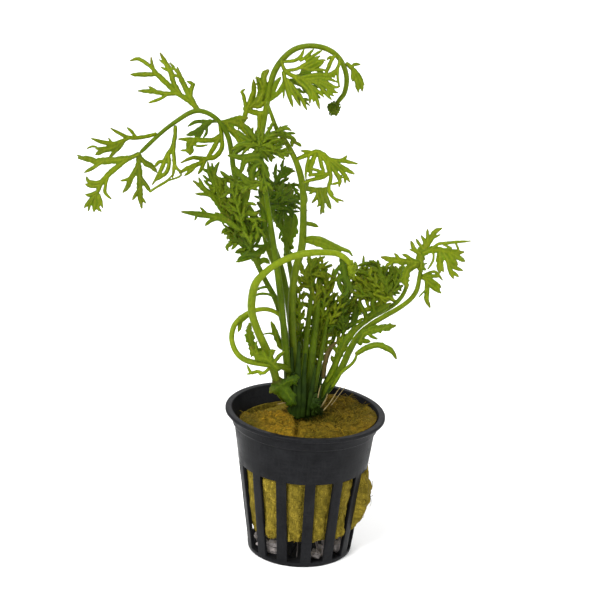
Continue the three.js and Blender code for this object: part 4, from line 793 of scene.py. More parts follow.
topStem = {
    "name": "top_frond_stem",
    "finish": "lightlyShadedStem",
    "radius": (1.2, 1.1, 1, 0.7),
    "bud": (5.1, 153, 14, 4.2, 4.3),
    "path": [
        (0.2, 50.8, 5.4), (-4.7, 74.5, 7), (-7, 89, 8.5), (-10.3, 97.8, 9.5), (-13.1, 103.5, 10.2),
        (-15.2, 110.2, 11), (-16.3, 120.2, 12.4), (-17.1, 130, 13.6), (-18.2, 138.3, 14.5),
        (-17, 148.1, 15.5), (-15.7, 157, 16.6), (-14.4, 163.4, 17.4), (-11.6, 168.2, 18),
        (-7.7, 171.5, 18.2), (-2.6, 172.6, 18), (2.6, 171.6, 17.4), (6.4, 168.6, 16.6),
        (8.6, 163.5, 15.6), (8.3, 158.4, 14.8), (6.6, 155.6, 14.3), (5.6, 153.8, 14),
    ],
}
topLeaves = {
    "top_frond_leaflet_4": {"onStem": True, "depth": (16.2, -0.55, 0.1), "strokes": [
        (1.3, -16, 154.6, -13.6, 156.4, -11.6, 158.9, -10.9, 161.4, -11.6, 163.4),
        (1.3, -14.6, 156.2, -13.8, 159.6, -12.2, 162.2), (0.5, -11, 160, -11, 155.6),
    ]},
    "top_frond_leaflet_1": {"depth": (15.8, -0.2, 0.2), "strokes": [
        (1.4, -17, 150.2, -20.2, 150.8, -23, 151.4, -21.4, 154.2, -20.5, 157, -20.7, 161),
        (1.7, -22.4, 151.6, -19.7, 153.6, -18, 156.4, -17.4, 159.4, -17.4, 162, -16.1, 164.2),
        (0.9, -17.9, 158.6, -19, 161.4, -20.1, 161.6), (1.1, -20.6, 152.6, -18.6, 152.6, -16.6, 154.6),
        (1.3, -18.3, 150.4, -18.1, 147.4, -18.6, 144.2), (1.2, -17.5, 150.3, -17.2, 147, -17.8, 144),
    ]},
    "top_frond_leaflet_2": {"depth": (17.8, 0.5, 0.4), "strokes": [
        (1.29, -16, 150.7, -19, 150.4, -21.5, 150.8, -22.9, 151),
        (1.12, -15.6, 155, -16.6, 153.7, -18.8, 153, -21.4, 152.2),
        (0.95, -22.6, 151, -23.2, 153.5, -23.8, 156, -24.4, 157, -23.4, 157.9),
        (1.38, -22.4, 151.8, -21.2, 155.3, -20.5, 157.8, -20.7, 161),
        (1.29, -21.6, 152.1, -19.6, 154.3, -18.6, 157.2, -19.1, 160.1, -19.9, 162),
        (1.63, -18.8, 153.2, -17.3, 155.8, -16.9, 158.4, -17.7, 161.4, -17.4, 163.4, -16.3, 164.4),
        (1.38, -16.6, 155, -16, 157.6, -16, 160.4),
        (1.38, -22.9, 150.8, -23.2, 148.6, -24, 147.3, -25, 145),
        (1.2, -18.7, 150.4, -18.4, 146.5, -19, 143.4), (1.12, -16.9, 150.2, -17.2, 146, -18, 143),
    ]},
    "top_frond_leaflet_3": {"depth": (16.6, -0.7, 0.4), "strokes": [
        (1.14, -12.2, 167.4, -11.3, 165, -9.8, 163.5, -6.6, 162.3, -3.2, 161.8, 0, 161.6, 3, 161.4),
        (0.91, -10.7, 164.4, -7.6, 164.9, -5.9, 165.6, -3.1, 165, 0, 165.2, 2.6, 165),
        (0.91, -11.2, 167.2, -8.1, 167.7, -6.2, 169, -5.2, 171.4),
        (0.84, -6.1, 167.8, -4.3, 169.1, -2.9, 170.7, -2.2, 171.6),
        (0.76, -4.4, 168, -1.9, 169.7, 0.4, 171.3),
        (0.99, -5.9, 166, -3.5, 167.3, -1.8, 168.3, -0.1, 169.5),
        (0.99, -4.8, 165.4, -2.4, 166.7, -0.4, 167.8, 1.6, 168.3),
        (0.91, -3.1, 164.9, -0.7, 166.2, 1.1, 167.6),
        (0.99, -5.4, 162.6, -1.6, 163.5, 2, 163.7, 4.8, 163),
        (0.91, -3.6, 162, 0.4, 162.6, 3.4, 162.3, 5.6, 161.5),
        (0.84, -2.6, 161.2, 0.6, 160.7, 3.4, 159.7, 5.2, 158.7), (0.76, 0.2, 162, 2, 160.9, 3.9, 160.6),
        (1.14, 5.4, 165.2, 3.4, 163.8, 1.2, 163.4),
        (1.22, -11.4, 163.6, -10.4, 160.5, -9.4, 157, -8, 153.1),
        (0.91, -9.9, 161.6, -8.9, 159, -7.2, 156, -5.9, 153.6),
        (0.99, -9, 160.6, -7.7, 158.8, -5.5, 156.1, -4.3, 153.7, -3.5, 152.2),
        (0.91, -8, 162.4, -6.2, 160.8, -3.8, 158.8, -2.7, 156.6, -2.6, 154.4),
        (1.14, -5.4, 162, -3.9, 160.8, -2.1, 158.7, -0.6, 155.9, 0.5, 152.8),
        (0.61, -2, 158, -1.6, 156.4, -1.4, 154.8),
        (0.91, -3.4, 161.4, -2.1, 159.8, 0, 158.1, 1.8, 156.5),
        (0.99, -1.6, 161.2, 0.3, 159.9, 2.5, 157.5, 4.1, 155.9),
        (0.84, 0.2, 161.2, 1.7, 160.2, 3.8, 158.6, 6.1, 158.1),
        (0.76, 1.4, 161.2, 3, 161, 5.2, 159.8, 6.6, 160.2), (0.61, 2.8, 158.4, 4.2, 157.4, 4.9, 157),
        (0.99, 4.4, 169.6, 3.5, 168, 2.8, 166.1, 1.9, 163.6),
        (0.61, 3.8, 169.4, 2.9, 169.3, 2.3, 168.4), (0.84, 6.2, 168.8, 6, 167, 5.3, 165.2, 4.6, 163),
        (0.61, 5.9, 166, 5.8, 163.4, 6.1, 161.6, 6.5, 160),
    ]},
    "top_frond_leaflet_5": {"feathered": True, "depth": (16.2, 0.5, 0.1), "strokes": [
        (1.1, 8.6, 167.5, 10.2, 166), (0.8, 10, 166.2, 10.8, 167.3, 12.7, 167.4),
        (1.3, 9.8, 166.2, 11, 165.4, 12.4, 163.7, 13.4, 161.6, 13.8, 159),
        (1.1, 10.5, 165.4, 11.5, 163, 12.3, 160.5, 12.6, 158.6),
        (0.7, 10.3, 165.2, 10.4, 163.4, 10.7, 162), (0.7, 11.8, 162, 11.9, 160.8, 12, 159.6),
        (0.6, 12.9, 162.6, 13.5, 161.8, 14.3, 161),
    ]},
    "top_frond_inner_leaf": {
        "inner": True, "finish": "halfShadedLeaf", "depth": (14.4, 0.15, -0.1), "strokes": [
        (2.8, -18.2, 138.6, -15, 139.2, -12, 138.8, -9.4, 138),
        (2.8, -18.2, 138.6, -21, 139.6, -23.6, 140.6),
        (2.2, -18, 139.4, -16.4, 141.6, -14.2, 142.8, -12.4, 143.6),
        (2, -18.6, 139.4, -20.4, 142, -22.4, 143.6),
        (2.2, -18, 138.6, -17.4, 135.6, -17, 132.4, -16.9, 129.6),
        (2.2, -18.6, 138.6, -20, 135.4, -20.2, 132, -19.9, 128.8),
        (1.2, -12.6, 138.8, -10.4, 137.6, -8.6, 137.4), (1, -13.4, 139.2, -11.6, 140.8, -10.2, 141.2),
    ]},
    "top_frond_low_leaf": {"inner": True, "finish": "shadeLeaf", "depth": (12.4, 0.1, 0.1), "strokes": [
        (3, -16.3, 120.4, -16.2, 123.6, -15.8, 126.4), (3, -16.2, 121, -14, 123.6, -13.2, 126.6),
        (3, -16.2, 119.4, -13.6, 119.6, -12.4, 116.4),
        (2.6, -14.6, 121.6, -12, 122.6, -10.6, 124.8, -10.8, 127),
        (2.6, -13.4, 119.8, -10.8, 119.8, -9.6, 116.4), (2.4, -15.9, 119, -15.9, 115.6, -15.6, 112.6),
        (1.8, -10.8, 121.4, -8.6, 122.6, -7.4, 124.6), (1.6, -10.4, 119.6, -7.6, 119, -6.6, 116.6),
    ]},
    "top_frond_back_leaf": {"inner": True, "finish": "halfShadedLeaf", "depth": (18.4, 0.1, 0.1), "strokes": [
        (1.9, -9.6, 161.4, -6.4, 162, -3, 161.6, 0.6, 161),
        (1.9, -8, 160.6, -4.6, 159.4, -1.6, 158.2, 1.8, 157.6),
        (1.9, -9, 160.2, -6.6, 157.4, -4.4, 155, -2.6, 153.6), (1.9, -6.4, 163, -3, 164.6, 0, 165.4),
    ]},
}
growFrond(topStem, "litLeaf", topLeaves)

tallStem = {
    "name": "tall_frond_stem",
    "finish": "lightlyShadedStem",
    "radius": (1.45, 1.3, 1.15, 1, 0.45),
    "path": [
        (-1.9, 48.6, -1), (-4.9, 74.4, -1.6), (-5.7, 88.4, -2), (-4.9, 98.7, -2.4), (-3.3, 105.6, -2.6),
        (-3, 113, -2.8), (-3.6, 125.8, -3), (-5.7, 134, -3.2), (-9.4, 141, -3.4), (-12.7, 145.4, -3.6),
        (-14.8, 150.4, -3.8), (-16.3, 154.3, -1.8),
    ],
}
tallLeaves = {
    "tall_frond_leaflet_3": {"onStem": True, "depth": (-3, 0.5, 0), "strokes": [
        (1.2, -3, 115, -0.2, 114.6, 1.8, 113.9),
    ]},
    "tall_frond_leaflet_4": {"onStem": True, "depth": (-2.8, -0.45, 0.1), "strokes": [
        (1.4, -3.1, 109.4, 0, 110, 3, 109.7, 6, 108.4, 9.6, 106.8, 12.2, 106, 13.4, 104.6),
        (1.2, 5, 109, 7.2, 106.9, 9.6, 105.8), (2.4, -1.6, 108.9, 2, 108.6, 5, 107.6, 7.6, 106.6),
    ]},
    "tall_frond_leaflet_1": {"depth": (-3.2, -0.8, 0.3), "strokes": [
        (1.36, -6.2, 135.8, -4, 137, -1.6, 138, 0.3, 138.8, 2.3, 138, 3.9, 136.6, 6.1, 136.1, 9, 136.1,
         10.9, 135.8, 13.4, 135.4),
        (0.8, -1, 138.5, -3.2, 138.7, -4.8, 138.8), (0.72, 7.8, 136.3, 9.3, 137, 10, 137.9),
        (1.28, 6, 136.1, 8.4, 134.2, 10.4, 133.1, 12.6, 132),
        (1.2, 5, 135.9, 7.8, 133.5, 9.8, 131.3, 11.3, 129.4), (0.64, 9.3, 132, 9.7, 130.4, 9.9, 128.8),
        (1.2, 4, 136.2, 6.6, 132.4, 8.1, 129.8, 8, 127.6), (0.72, 6.8, 132.2, 7.7, 131.4, 8.9, 130.5),
        (0.64, 8, 129, 6.6, 128.5, 5.7, 128.2),
        (1.04, 4, 136, 5, 132, 5.2, 129.8, 4.7, 127.8, 4.9, 125.8, 6.5, 123.7, 9.6, 122.8),
        (0.64, 6.2, 124, 8, 122.2), (1.12, 0.8, 138.6, 1.6, 135.9, 2.2, 133.9, 3.1, 131.7),
        (0.96, 1.7, 137.8, 3.7, 135, 4.3, 132), (1.44, 0, 138, -1.2, 134.9, -1.6, 132.6, -1, 130.9),
        (0.72, -2, 137.6, -2.7, 134.3, -2.9, 131.7, -2.8, 129.5),
        (0.8, -1.4, 133.2, 1.5, 132.4, 3.3, 131.8), (0.96, -1.7, 130.9, 0, 131.2, 2.7, 131.4, 4.7, 132),
        (1.04, -3.4, 128.4, -1.6, 129.2, 0.3, 129.8, 2.5, 130.3, 4.6, 131.4),
    ]},
    "tall_frond_leaflet_2": {"depth": (-2.8, 0.8, -0.2), "strokes": [
        (1.48, -4.6, 126.9, -1.4, 126.3, 1.2, 126.1, 3.4, 126.5, 4.6, 127.4),
        (0.86, 1.1, 126, 0.9, 123.7, -0.5, 121.8), (0.78, 1.3, 124, 2, 121.8, 1.3, 120.6),
        (1.25, 1.8, 126, 2.8, 123, 3, 120.4, 2.5, 118.2), (0.62, 2.9, 121, 3.5, 118.6),
        (1.4, 3.4, 126.4, 3.9, 123.8, 5, 121.5, 5.7, 120.1), (0.62, 4.2, 126.6, 5.3, 126, 6.3, 124.8),
        (0.7, -3.2, 126.4, -2.3, 122.8, -2.5, 121.2), (0.62, 0, 126, -1, 125, -1.6, 124.8),
        (0.86, -2.6, 127, -2.2, 128.2, -2.6, 129.2),
    ]},
}
growFrond(tallStem, "litLeaf", tallLeaves)

sideStem = {
    "name": "side_frond_stem",
    "finish": "shadedStem",
    "radius": (1.2, 1.05, 0.8),
    "path": [
        (-2.6, 51.4, 1), (-5.4, 55, -1), (-6.7, 68, -2.4), (-7.7, 78, -3), (-10.6, 87.5, -4),
        (-14.6, 94.8, -5.6), (-18, 101.4, -8), (-20.8, 108, -10.5), (-23, 114.5, -12.5),
    ],
}
sideLeaves = {
    "side_frond_leaflet_4": {"onStem": True, "depth": (-7.6, 0.2, 0.1), "strokes": [
        (1.4, -17.2, 101, -18.6, 102.8, -21, 102.3, -24.3, 100.8),
        (1.1, -18.6, 102.9, -21, 103.2, -23, 103.4), (1.6, -17.2, 100.6, -15.2, 101.9, -13.6, 100.8),
        (2.2, -18.4, 102, -16.8, 104.6, -14.4, 106.6, -12.6, 108.4),
        (1.8, -19, 104.4, -22, 104.8, -24.6, 104),
        (0.7, -12.9, 92.4, -14.6, 92.6, -16.6, 92, -18.4, 90.8),
        (0.7, -12, 89.6, -13.8, 90.2, -16.4, 90.1, -18.4, 89.2),
    ]},
    "side_frond_leaflet_1": {"feathered": True, "depth": (-11.8, 0.35, 0.2), "strokes": [
        (1.7, -24.2, 112.6, -27, 114.3, -28.6, 116.6, -30.4, 119.6, -32.6, 122.4, -35.4, 124.7, -39,
         127.3),
        (0.9, -34.6, 124.2, -36.4, 126.4, -37.3, 128.5), (0.9, -32.3, 122.2, -34.7, 123, -38.3, 123.1),
        (1.2, -30.6, 119.9, -30.8, 123, -32.2, 126.4, -33.8, 130, -34.6, 133.8),
        (1.4, -29.2, 117.8, -29.4, 122, -31.4, 126, -32.8, 130, -33.2, 133.4),
        (0.9, -32.3, 129, -31.8, 132, -30.9, 134),
        (1.3, -28.6, 116.8, -28.6, 121, -30, 125.4, -30.6, 128.4),
        (1.8, -29.6, 120.4, -31, 123.6, -33.2, 127.6, -35, 131.4),
        (1.6, -29, 121.6, -29.8, 123.4, -31.4, 127, -32.6, 130.8),
        (1.2, -31, 128, -28.6, 128.2, -26, 127.4),
        (1.8, -32.9, 131.2, -32, 128.6, -31.2, 126, -29.8, 123.2, -28.6, 118.4),
        (1.4, -30.4, 128, -30.2, 125.4, -29.4, 122.6, -28.4, 118),
    ]},
    "side_frond_leaflet_2": {"depth": (-13.3, 0.45, 0), "strokes": [
        (1.7, -23.8, 111.8, -27.4, 114.2, -30, 115.2, -33.4, 115.9, -37.6, 116.4, -42.5, 116.9),
        (1.1, -30.8, 115.2, -33, 114.4, -34.8, 112.7), (0.7, -34, 116.2, -36.6, 118.6),
        (0.5, -37.6, 116, -38.3, 114.3), (2, -33, 115.9, -30, 115.4, -27.4, 114.4),
    ]},
    "side_frond_leaflet_3": {"feathered": True, "depth": (-10.4, 0.3, 0.3), "strokes": [
        (2.4, -20.2, 106.2, -22.4, 106.6, -25, 108.6, -26.6, 111.4),
        (1.4, -25.2, 109, -27.2, 110.6, -28.5, 110), (1.6, -22.6, 107.4, -22.6, 110.2, -24.4, 112),
        (0.5, -24.6, 107.6, -26.4, 106.6, -27.2, 105.4), (0.4, -24.2, 106.8, -25.6, 105.2),
        (3, -23.8, 109, -25.6, 112, -27.4, 114.6, -29.6, 117.2),
        (1.2, -25.8, 112.2, -28.2, 111.6, -29.4, 110.2),
        (0.9, -25, 108.8, -26.4, 107.4, -27.6, 105.8, -27.2, 104.4),
        (1.2, -25.4, 110.6, -27, 109.4, -27.6, 108.4), (1, -24.4, 108.4, -25, 106.4, -26, 105),
    ]},
    "side_frond_leaflet_5": {"feathered": True, "depth": (-12.8, 0.05, 0.2), "strokes": [
        (2.5, -23.2, 114.8, -25, 117.4, -27, 119.4, -29, 121),
        (2.2, -23, 115, -23.4, 118.6, -24.6, 122.2, -25.4, 125.8, -26, 128.6),
        (1.7, -22.8, 116, -22.4, 120.2, -21.6, 123.2, -20.8, 125.8),
        (1.1, -25.2, 125.2, -27.6, 124.6, -28.8, 126, -28.6, 128.2, -27.2, 128.4),
        (1.1, -26.2, 128.4, -28.6, 129.4, -30.4, 131), (1, -24.4, 121.6, -22.6, 124, -22.2, 126.2),
        (3.2, -19.8, 107.4, -22, 110.8, -24.6, 114.2, -27, 117.8, -29.4, 121),
        (2.6, -22.8, 113.2, -24, 117.8, -25.6, 122.2, -27, 127),
        (2.2, -22.6, 115, -22.8, 119, -24.2, 123, -24.4, 127),
        (1.3, -24.6, 124.4, -22.4, 125.8, -20, 127),
        (1.5, -23.4, 118, -21.6, 117.4, -19.6, 117.2, -17.6, 117.6),
        (0.9, -22.4, 120.4, -21, 120.7, -19.6, 120.6, -18.6, 120.2),
        (1.9, -21.4, 115.6, -19, 115.4, -18.2, 113, -17.2, 109.4),
    ]},
    "side_frond_leaflet_6": {
        "finish": "shadeLeaf", "feathered": True, "depth": (-9.8, -0.3, 0.2), "strokes": [
        (2.6, -19.6, 107.2, -19.4, 110.4, -20.4, 113.4, -22, 116),
        (2.2, -19.4, 105.6, -17.2, 108.6, -17.2, 112.6, -18.2, 116.6),
        (1.5, -17.6, 109.6, -15.8, 112.4, -16.4, 118.6, -18.2, 121.2),
    ]},
    "side_frond_inner_leaf": {
        "inner": True, "finish": "shadeLeaf", "depth": (-11, 0.1, 0.1), "strokes": [
        (3.2, -20, 105, -21.6, 107.6, -23.4, 110.4, -25.6, 113.4, -27.6, 116.5),
        (3, -19.4, 107.8, -21, 110.8, -22.8, 114, -24.6, 117.4, -26.6, 120.4),
        (2.4, -22.6, 106.2, -24.4, 108.2, -25.6, 110.6),
        (1.6, -26.4, 120, -26.2, 122.2, -26.4, 124.4, -26.4, 127, -27.1, 129.7),
        (2.6, -19.6, 106, -20.6, 110, -21.4, 114, -22, 118),
        (2.2, -19, 107.4, -18.6, 111, -18.4, 114.6, -18.6, 118.2),
        (1.2, -25.5, 108.6, -26.4, 107, -27, 105.8), (1.2, -20.6, 104.6, -22, 102.8, -23.9, 101.6),
        (1.4, -22, 103, -19.8, 103.4, -16.6, 103.2),
    ]},
}
growFrond(sideStem, "halfShadedLeaf", sideLeaves)

middleStem = {
    "name": "middle_frond_stem",
    "finish": "shadedStem",
    "radius": (1.25, 1.05, 0.7),
    "path": [
        (-1.4, 49.8, -3.6), (-4.4, 54, -4.6), (-6.9, 70, -6), (-8.8, 85, -7), (-10.6, 97, -8),
        (-12.6, 108, -9), (-14.4, 118, -9.8), (-16.2, 128, -10.4), (-18, 139, -11),
    ],
}
middleLeaves = {
    "middle_frond_leaflet_1": {"feathered": True, "depth": (-11, 0.2, 0.2), "strokes": [
        (1.8, -18, 139.4, -16.4, 142.3, -14.4, 144.3, -11.4, 144.7, -8.6, 143.8, -6.4, 140.9),
        (0.9, -12.6, 144.8, -9.9, 145.9, -8.2, 145.3), (0.7, -9.6, 144, -7.6, 143, -6.3, 141.6),
        (1.3, -16, 142.6, -14.4, 142.2, -12.6, 142.6), (2.8, -18, 139.6, -20.4, 140.6, -22.6, 139.4),
        (2.2, -17.6, 139.8, -15, 140.6, -13.2, 139.2), (2, -18.2, 140, -18.6, 142.6, -20.4, 143.6),
        (1.3, -16.8, 141, -15, 143, -12.8, 143.8), (1.3, -21, 141.4, -23.4, 142.6, -25.6, 144.6),
        (1.2, -20, 139.8, -22, 140.4, -24.9, 139.7, -26.8, 138.2),
        (1.5, -19.6, 141.8, -21.4, 144.4, -23.4, 146.6),
    ]},
    "middle_frond_leaflet_2": {"feathered": True, "depth": (-11, 0.3, -0.1), "strokes": [
        (2.4, -17.2, 139.8, -15.4, 140.3, -13.4, 139.8, -11.3, 140.2),
        (0.9, -16.4, 139, -13, 137.8, -8.6, 136.9), (1.3, -16.6, 138.6, -14.6, 136.6, -13, 136.2),
        (0.9, -15.2, 137.4, -14, 134.8), (2.2, -17.4, 138.4, -14.6, 138.3, -11, 137.6, -9, 136.6),
        (1.4, -16, 139.4, -14, 141, -12.4, 141.6),
        (1.8, -17, 138.6, -17, 136, -16.6, 133, -16.2, 130, -15.6, 127.6),
    ]},
    "middle_frond_leaflet_3": {"feathered": True, "depth": (-11, -0.25, 0.1), "strokes": [
        (1.6, -18.8, 139, -21.4, 139.9, -24, 138.8, -26.8, 136.2),
        (1.5, -18.8, 138.4, -20.6, 136.4, -23.4, 135.8, -26.4, 136),
        (1.5, -19, 139.8, -21, 141.6, -23.8, 142.6), (1.2, -20, 140.6, -21, 143.6, -20.4, 145.6),
        (2.4, -19.8, 127.6, -19.6, 131, -19.8, 134.6, -20, 138),
        (2.2, -16.2, 127.2, -20, 126.8, -24, 125.4, -27, 124, -29.6, 123.6),
    ]},
    "middle_frond_leaflet_4": {"feathered": True, "depth": (-12.3, 0.1, 0.05), "strokes": [
        (2.2, -16.6, 130.5, -15.8, 127.8, -15.2, 125.2), (1.6, -17.2, 134.6, -16, 131.6, -15.2, 129.4),
        (1.3, -17.6, 134.2, -19.6, 132.8, -20.4, 129.8, -19.6, 127.4),
        (1.4, -16.6, 133.6, -18.4, 135.2, -20.6, 135, -22.9, 134.2, -23.7, 131),
        (1.4, -16.8, 128, -19.6, 127, -22.6, 128.2, -25.6, 132.6),
        (1.6, -18.2, 136.8, -20.4, 136.6, -23.4, 135.8, -25.6, 136, -28, 136.2),
        (1.3, -23, 135.8, -23.3, 133, -24, 130.6),
        (1.5, -18.8, 128, -20.6, 128, -23.4, 129.5, -25.2, 130.7, -26.8, 132),
    ]},
}
growFrond(middleStem, "halfShadedLeaf", middleLeaves)

backStem = {
    "name": "back_frond_stem",
    "finish": "shadedStem",
    "radius": (1.15, 0.95, 0.6),
    "path": [
        (1.8, 51.4, 7.4), (-1.6, 70, 12), (-4.4, 88, 15), (-7.4, 103, 18), (-10, 115, 20.5),
        (-12.4, 127, 22.5),
    ],
}
backLeaves = {
    "back_frond_leaflet_4": {"onStem": True, "depth": (18.4, 0.1, -0.3), "strokes": [
        (1.6, -8.6, 110, -6.4, 112.6, -5.6, 115.6, -6.8, 118.4),
        (1.3, -8.6, 110.2, -9.4, 112, -11.4, 114.6, -12.4, 118), (1, -7, 112, -5.4, 110.2),
        (2.6, -7.6, 103.6, -7.4, 108, -6.6, 113, -7, 119.5),
        (2.8, -8.6, 108.4, -8.2, 112, -7.4, 115.4, -6, 117.4), (1.6, -7.6, 113.6, -6, 113, -4.8, 111.4),
        (1.3, -8, 116, -9.6, 118.4, -9.8, 120.4),
    ]},
    "back_frond_leaflet_1": {"feathered": True, "depth": (22.4, -0.1, 0.25), "strokes": [
        (2.2, -11.8, 124.6, -12.6, 128.2, -11.4, 130.6, -9.8, 132.9, -7.4, 132.8),
        (1, -11.8, 129.8, -10.4, 131.2, -7.4, 132.1),
        (2, -12, 127.2, -9.8, 127.6, -7, 126.6, -5, 125.8), (1.6, -12.4, 127, -14.6, 128, -16.4, 130.4),
        (1.4, -12.6, 127.4, -14.4, 126, -16.6, 126.8), (0.6, -11, 131.4, -12.1, 132.2),
    ]},
    "back_frond_leaflet_2": {"feathered": True, "depth": (21, -0.3, -0.2), "strokes": [
        (2.6, -10.8, 119.4, -13, 121.4, -15.4, 122.6, -17.6, 125.6),
        (2, -12.2, 120.6, -14.8, 119.4, -16.4, 117), (1.6, -13.4, 121.6, -13.6, 124.6, -15.2, 127.2),
        (2, -12.6, 127.6, -11, 130.4, -9, 132.2, -7.2, 132.8),
        (2.6, -11.6, 125.2, -11, 121, -10.6, 117, -9.8, 113, -9.4, 109.6),
        (2.6, -11, 124.4, -8.6, 123.6, -7, 121.6, -5.8, 119.4),
        (1, -8.6, 122.8, -7.4, 121, -6.8, 119.6),
    ]},
    "back_frond_leaflet_3": {"feathered": True, "depth": (20.4, 0.3, -0.1), "strokes": [
        (2.6, -9.8, 117.4, -8, 120.6, -7.6, 123.8, -9, 126.4),
        (2.2, -9, 118.8, -6.6, 119.8, -4.6, 120.2), (1.8, -8, 121.4, -6.2, 123.2, -4.4, 124.6),
        (1.4, -10, 119.4, -11.2, 122.4, -11, 125), (3, -12.6, 124.8, -14, 123, -15, 120.6, -13, 117.8),
        (2.4, -11.8, 125.4, -14.4, 126.4, -17, 126.6),
    ]},
}
growFrond(backStem, "shadeLeaf", backLeaves)

curledStem = {
    "name": "curled_stem",
    "finish": "litStem",
    "radius": (1.3, 1.25, 0.95),
    "bud": (13.3, 99.8, -14.2, 3.2, 6.2),
    "path": [
        (-3.6, 51.6, -1.8), (-5.6, 52.8, -3.8), (-8, 55.2, -5.8), (-9.8, 60.4, -8), (-10.9, 64, -8.6),
        (-13.4, 70.5, -9.6), (-16.6, 77.4, -11.4), (-18.6, 83, -13), (-18.9, 88, -14.4),
        (-17.8, 93.7, -15.8), (-14.6, 97.8, -16.8), (-10.6, 101, -17.2), (-5.3, 103.7, -17),
        (0, 105, -16.6), (5, 105.3, -16), (8.6, 105, -15.4), (11.4, 103.4, -14.8), (13.2, 101, -14.2),
    ],
}
curledLeaves = {
    "curled_stem_leaflet": {"finish": "shadeLeaf", "depth": (-14.6, -0.2, 0.1), "strokes": [
        (1.9, 10, 104.2, 10.6, 101.4, 11.2, 97.8, 12.8, 94.8, 14, 92),
        (1, 11.2, 98, 9.4, 95.6, 10.8, 91.6), (0.9, 12.6, 95.2, 12, 91.6, 10.2, 90.9),
        (1.1, 10.6, 101.6, 8.6, 99.4, 8, 96.8),
    ]},
}
growFrond(curledStem, "halfShadedLeaf", curledLeaves)

smallCurlStem = {
    "name": "small_curl_stem",
    "finish": "litStem",
    "radius": (1, 0.9, 0.7),
    "path": [
        (-4.6, 62.9, -4.6), (-7.4, 64.9, -8), (-11.2, 65.4, -12.8), (-15.1, 65.8, -14.4),
        (-19, 66.4, -14.8), (-21.8, 67.7, -14.2), (-23.8, 70, -13.2), (-25, 73.2, -11.8),
        (-25.1, 76, -10.4), (-24.3, 79, -9), (-22.4, 81.4, -8), (-19.6, 83.5, -7), (-16.6, 84.7, -6.2),
        (-13.4, 84.9, -5.8), (-10.4, 83.8, -5.6), (-8.4, 81.9, -5.4),
    ],
}
smallCurlLeaves = {
    "small_curl_leaflet_2": {"onStem": True, "depth": (-13.2, 0.2, 0), "strokes": [
        (1, -11.6, 65.2, -12.8, 63.6, -14.4, 62.4, -16.2, 63, -18.2, 62.4, -19.7, 65),
        (0.6, -17.2, 62.8, -19.6, 61.8), (0.5, -15.6, 62.8, -15.2, 61.6),
    ]},
    "small_curl_leaflet_3": {"onStem": True, "depth": (-7, 0.2, 0.1), "strokes": [
        (1.3, -19.4, 83, -21, 81.6, -22.3, 80.4, -22.6, 78.4, -22.9, 76.8),
        (1.2, -20.6, 82.4, -22.6, 81.6, -23.4, 79.4),
    ]},
    "small_curl_leaflet_1": {"depth": (-13.6, 0.4, 0.1), "strokes": [
        (2.6, -9.6, 64.4, -12.4, 66.8, -15, 67.8, -17.4, 69.4, -18.6, 71.5),
        (1.4, -13, 67.2, -14.2, 69.2, -14.6, 70.6), (1.3, -11.8, 66.8, -11.8, 69, -10.8, 70.3),
        (1.1, -10.8, 66.2, -9.2, 68.6, -7.6, 70.4), (0.6, -16, 68.6, -17, 71.6, -16.7, 73.7),
        (0.5, -11.4, 69.4, -12.2, 70.6, -10.4, 70.7),
    ]},
}
growFrond(smallCurlStem, "lightlyShadedLeaf", smallCurlLeaves)

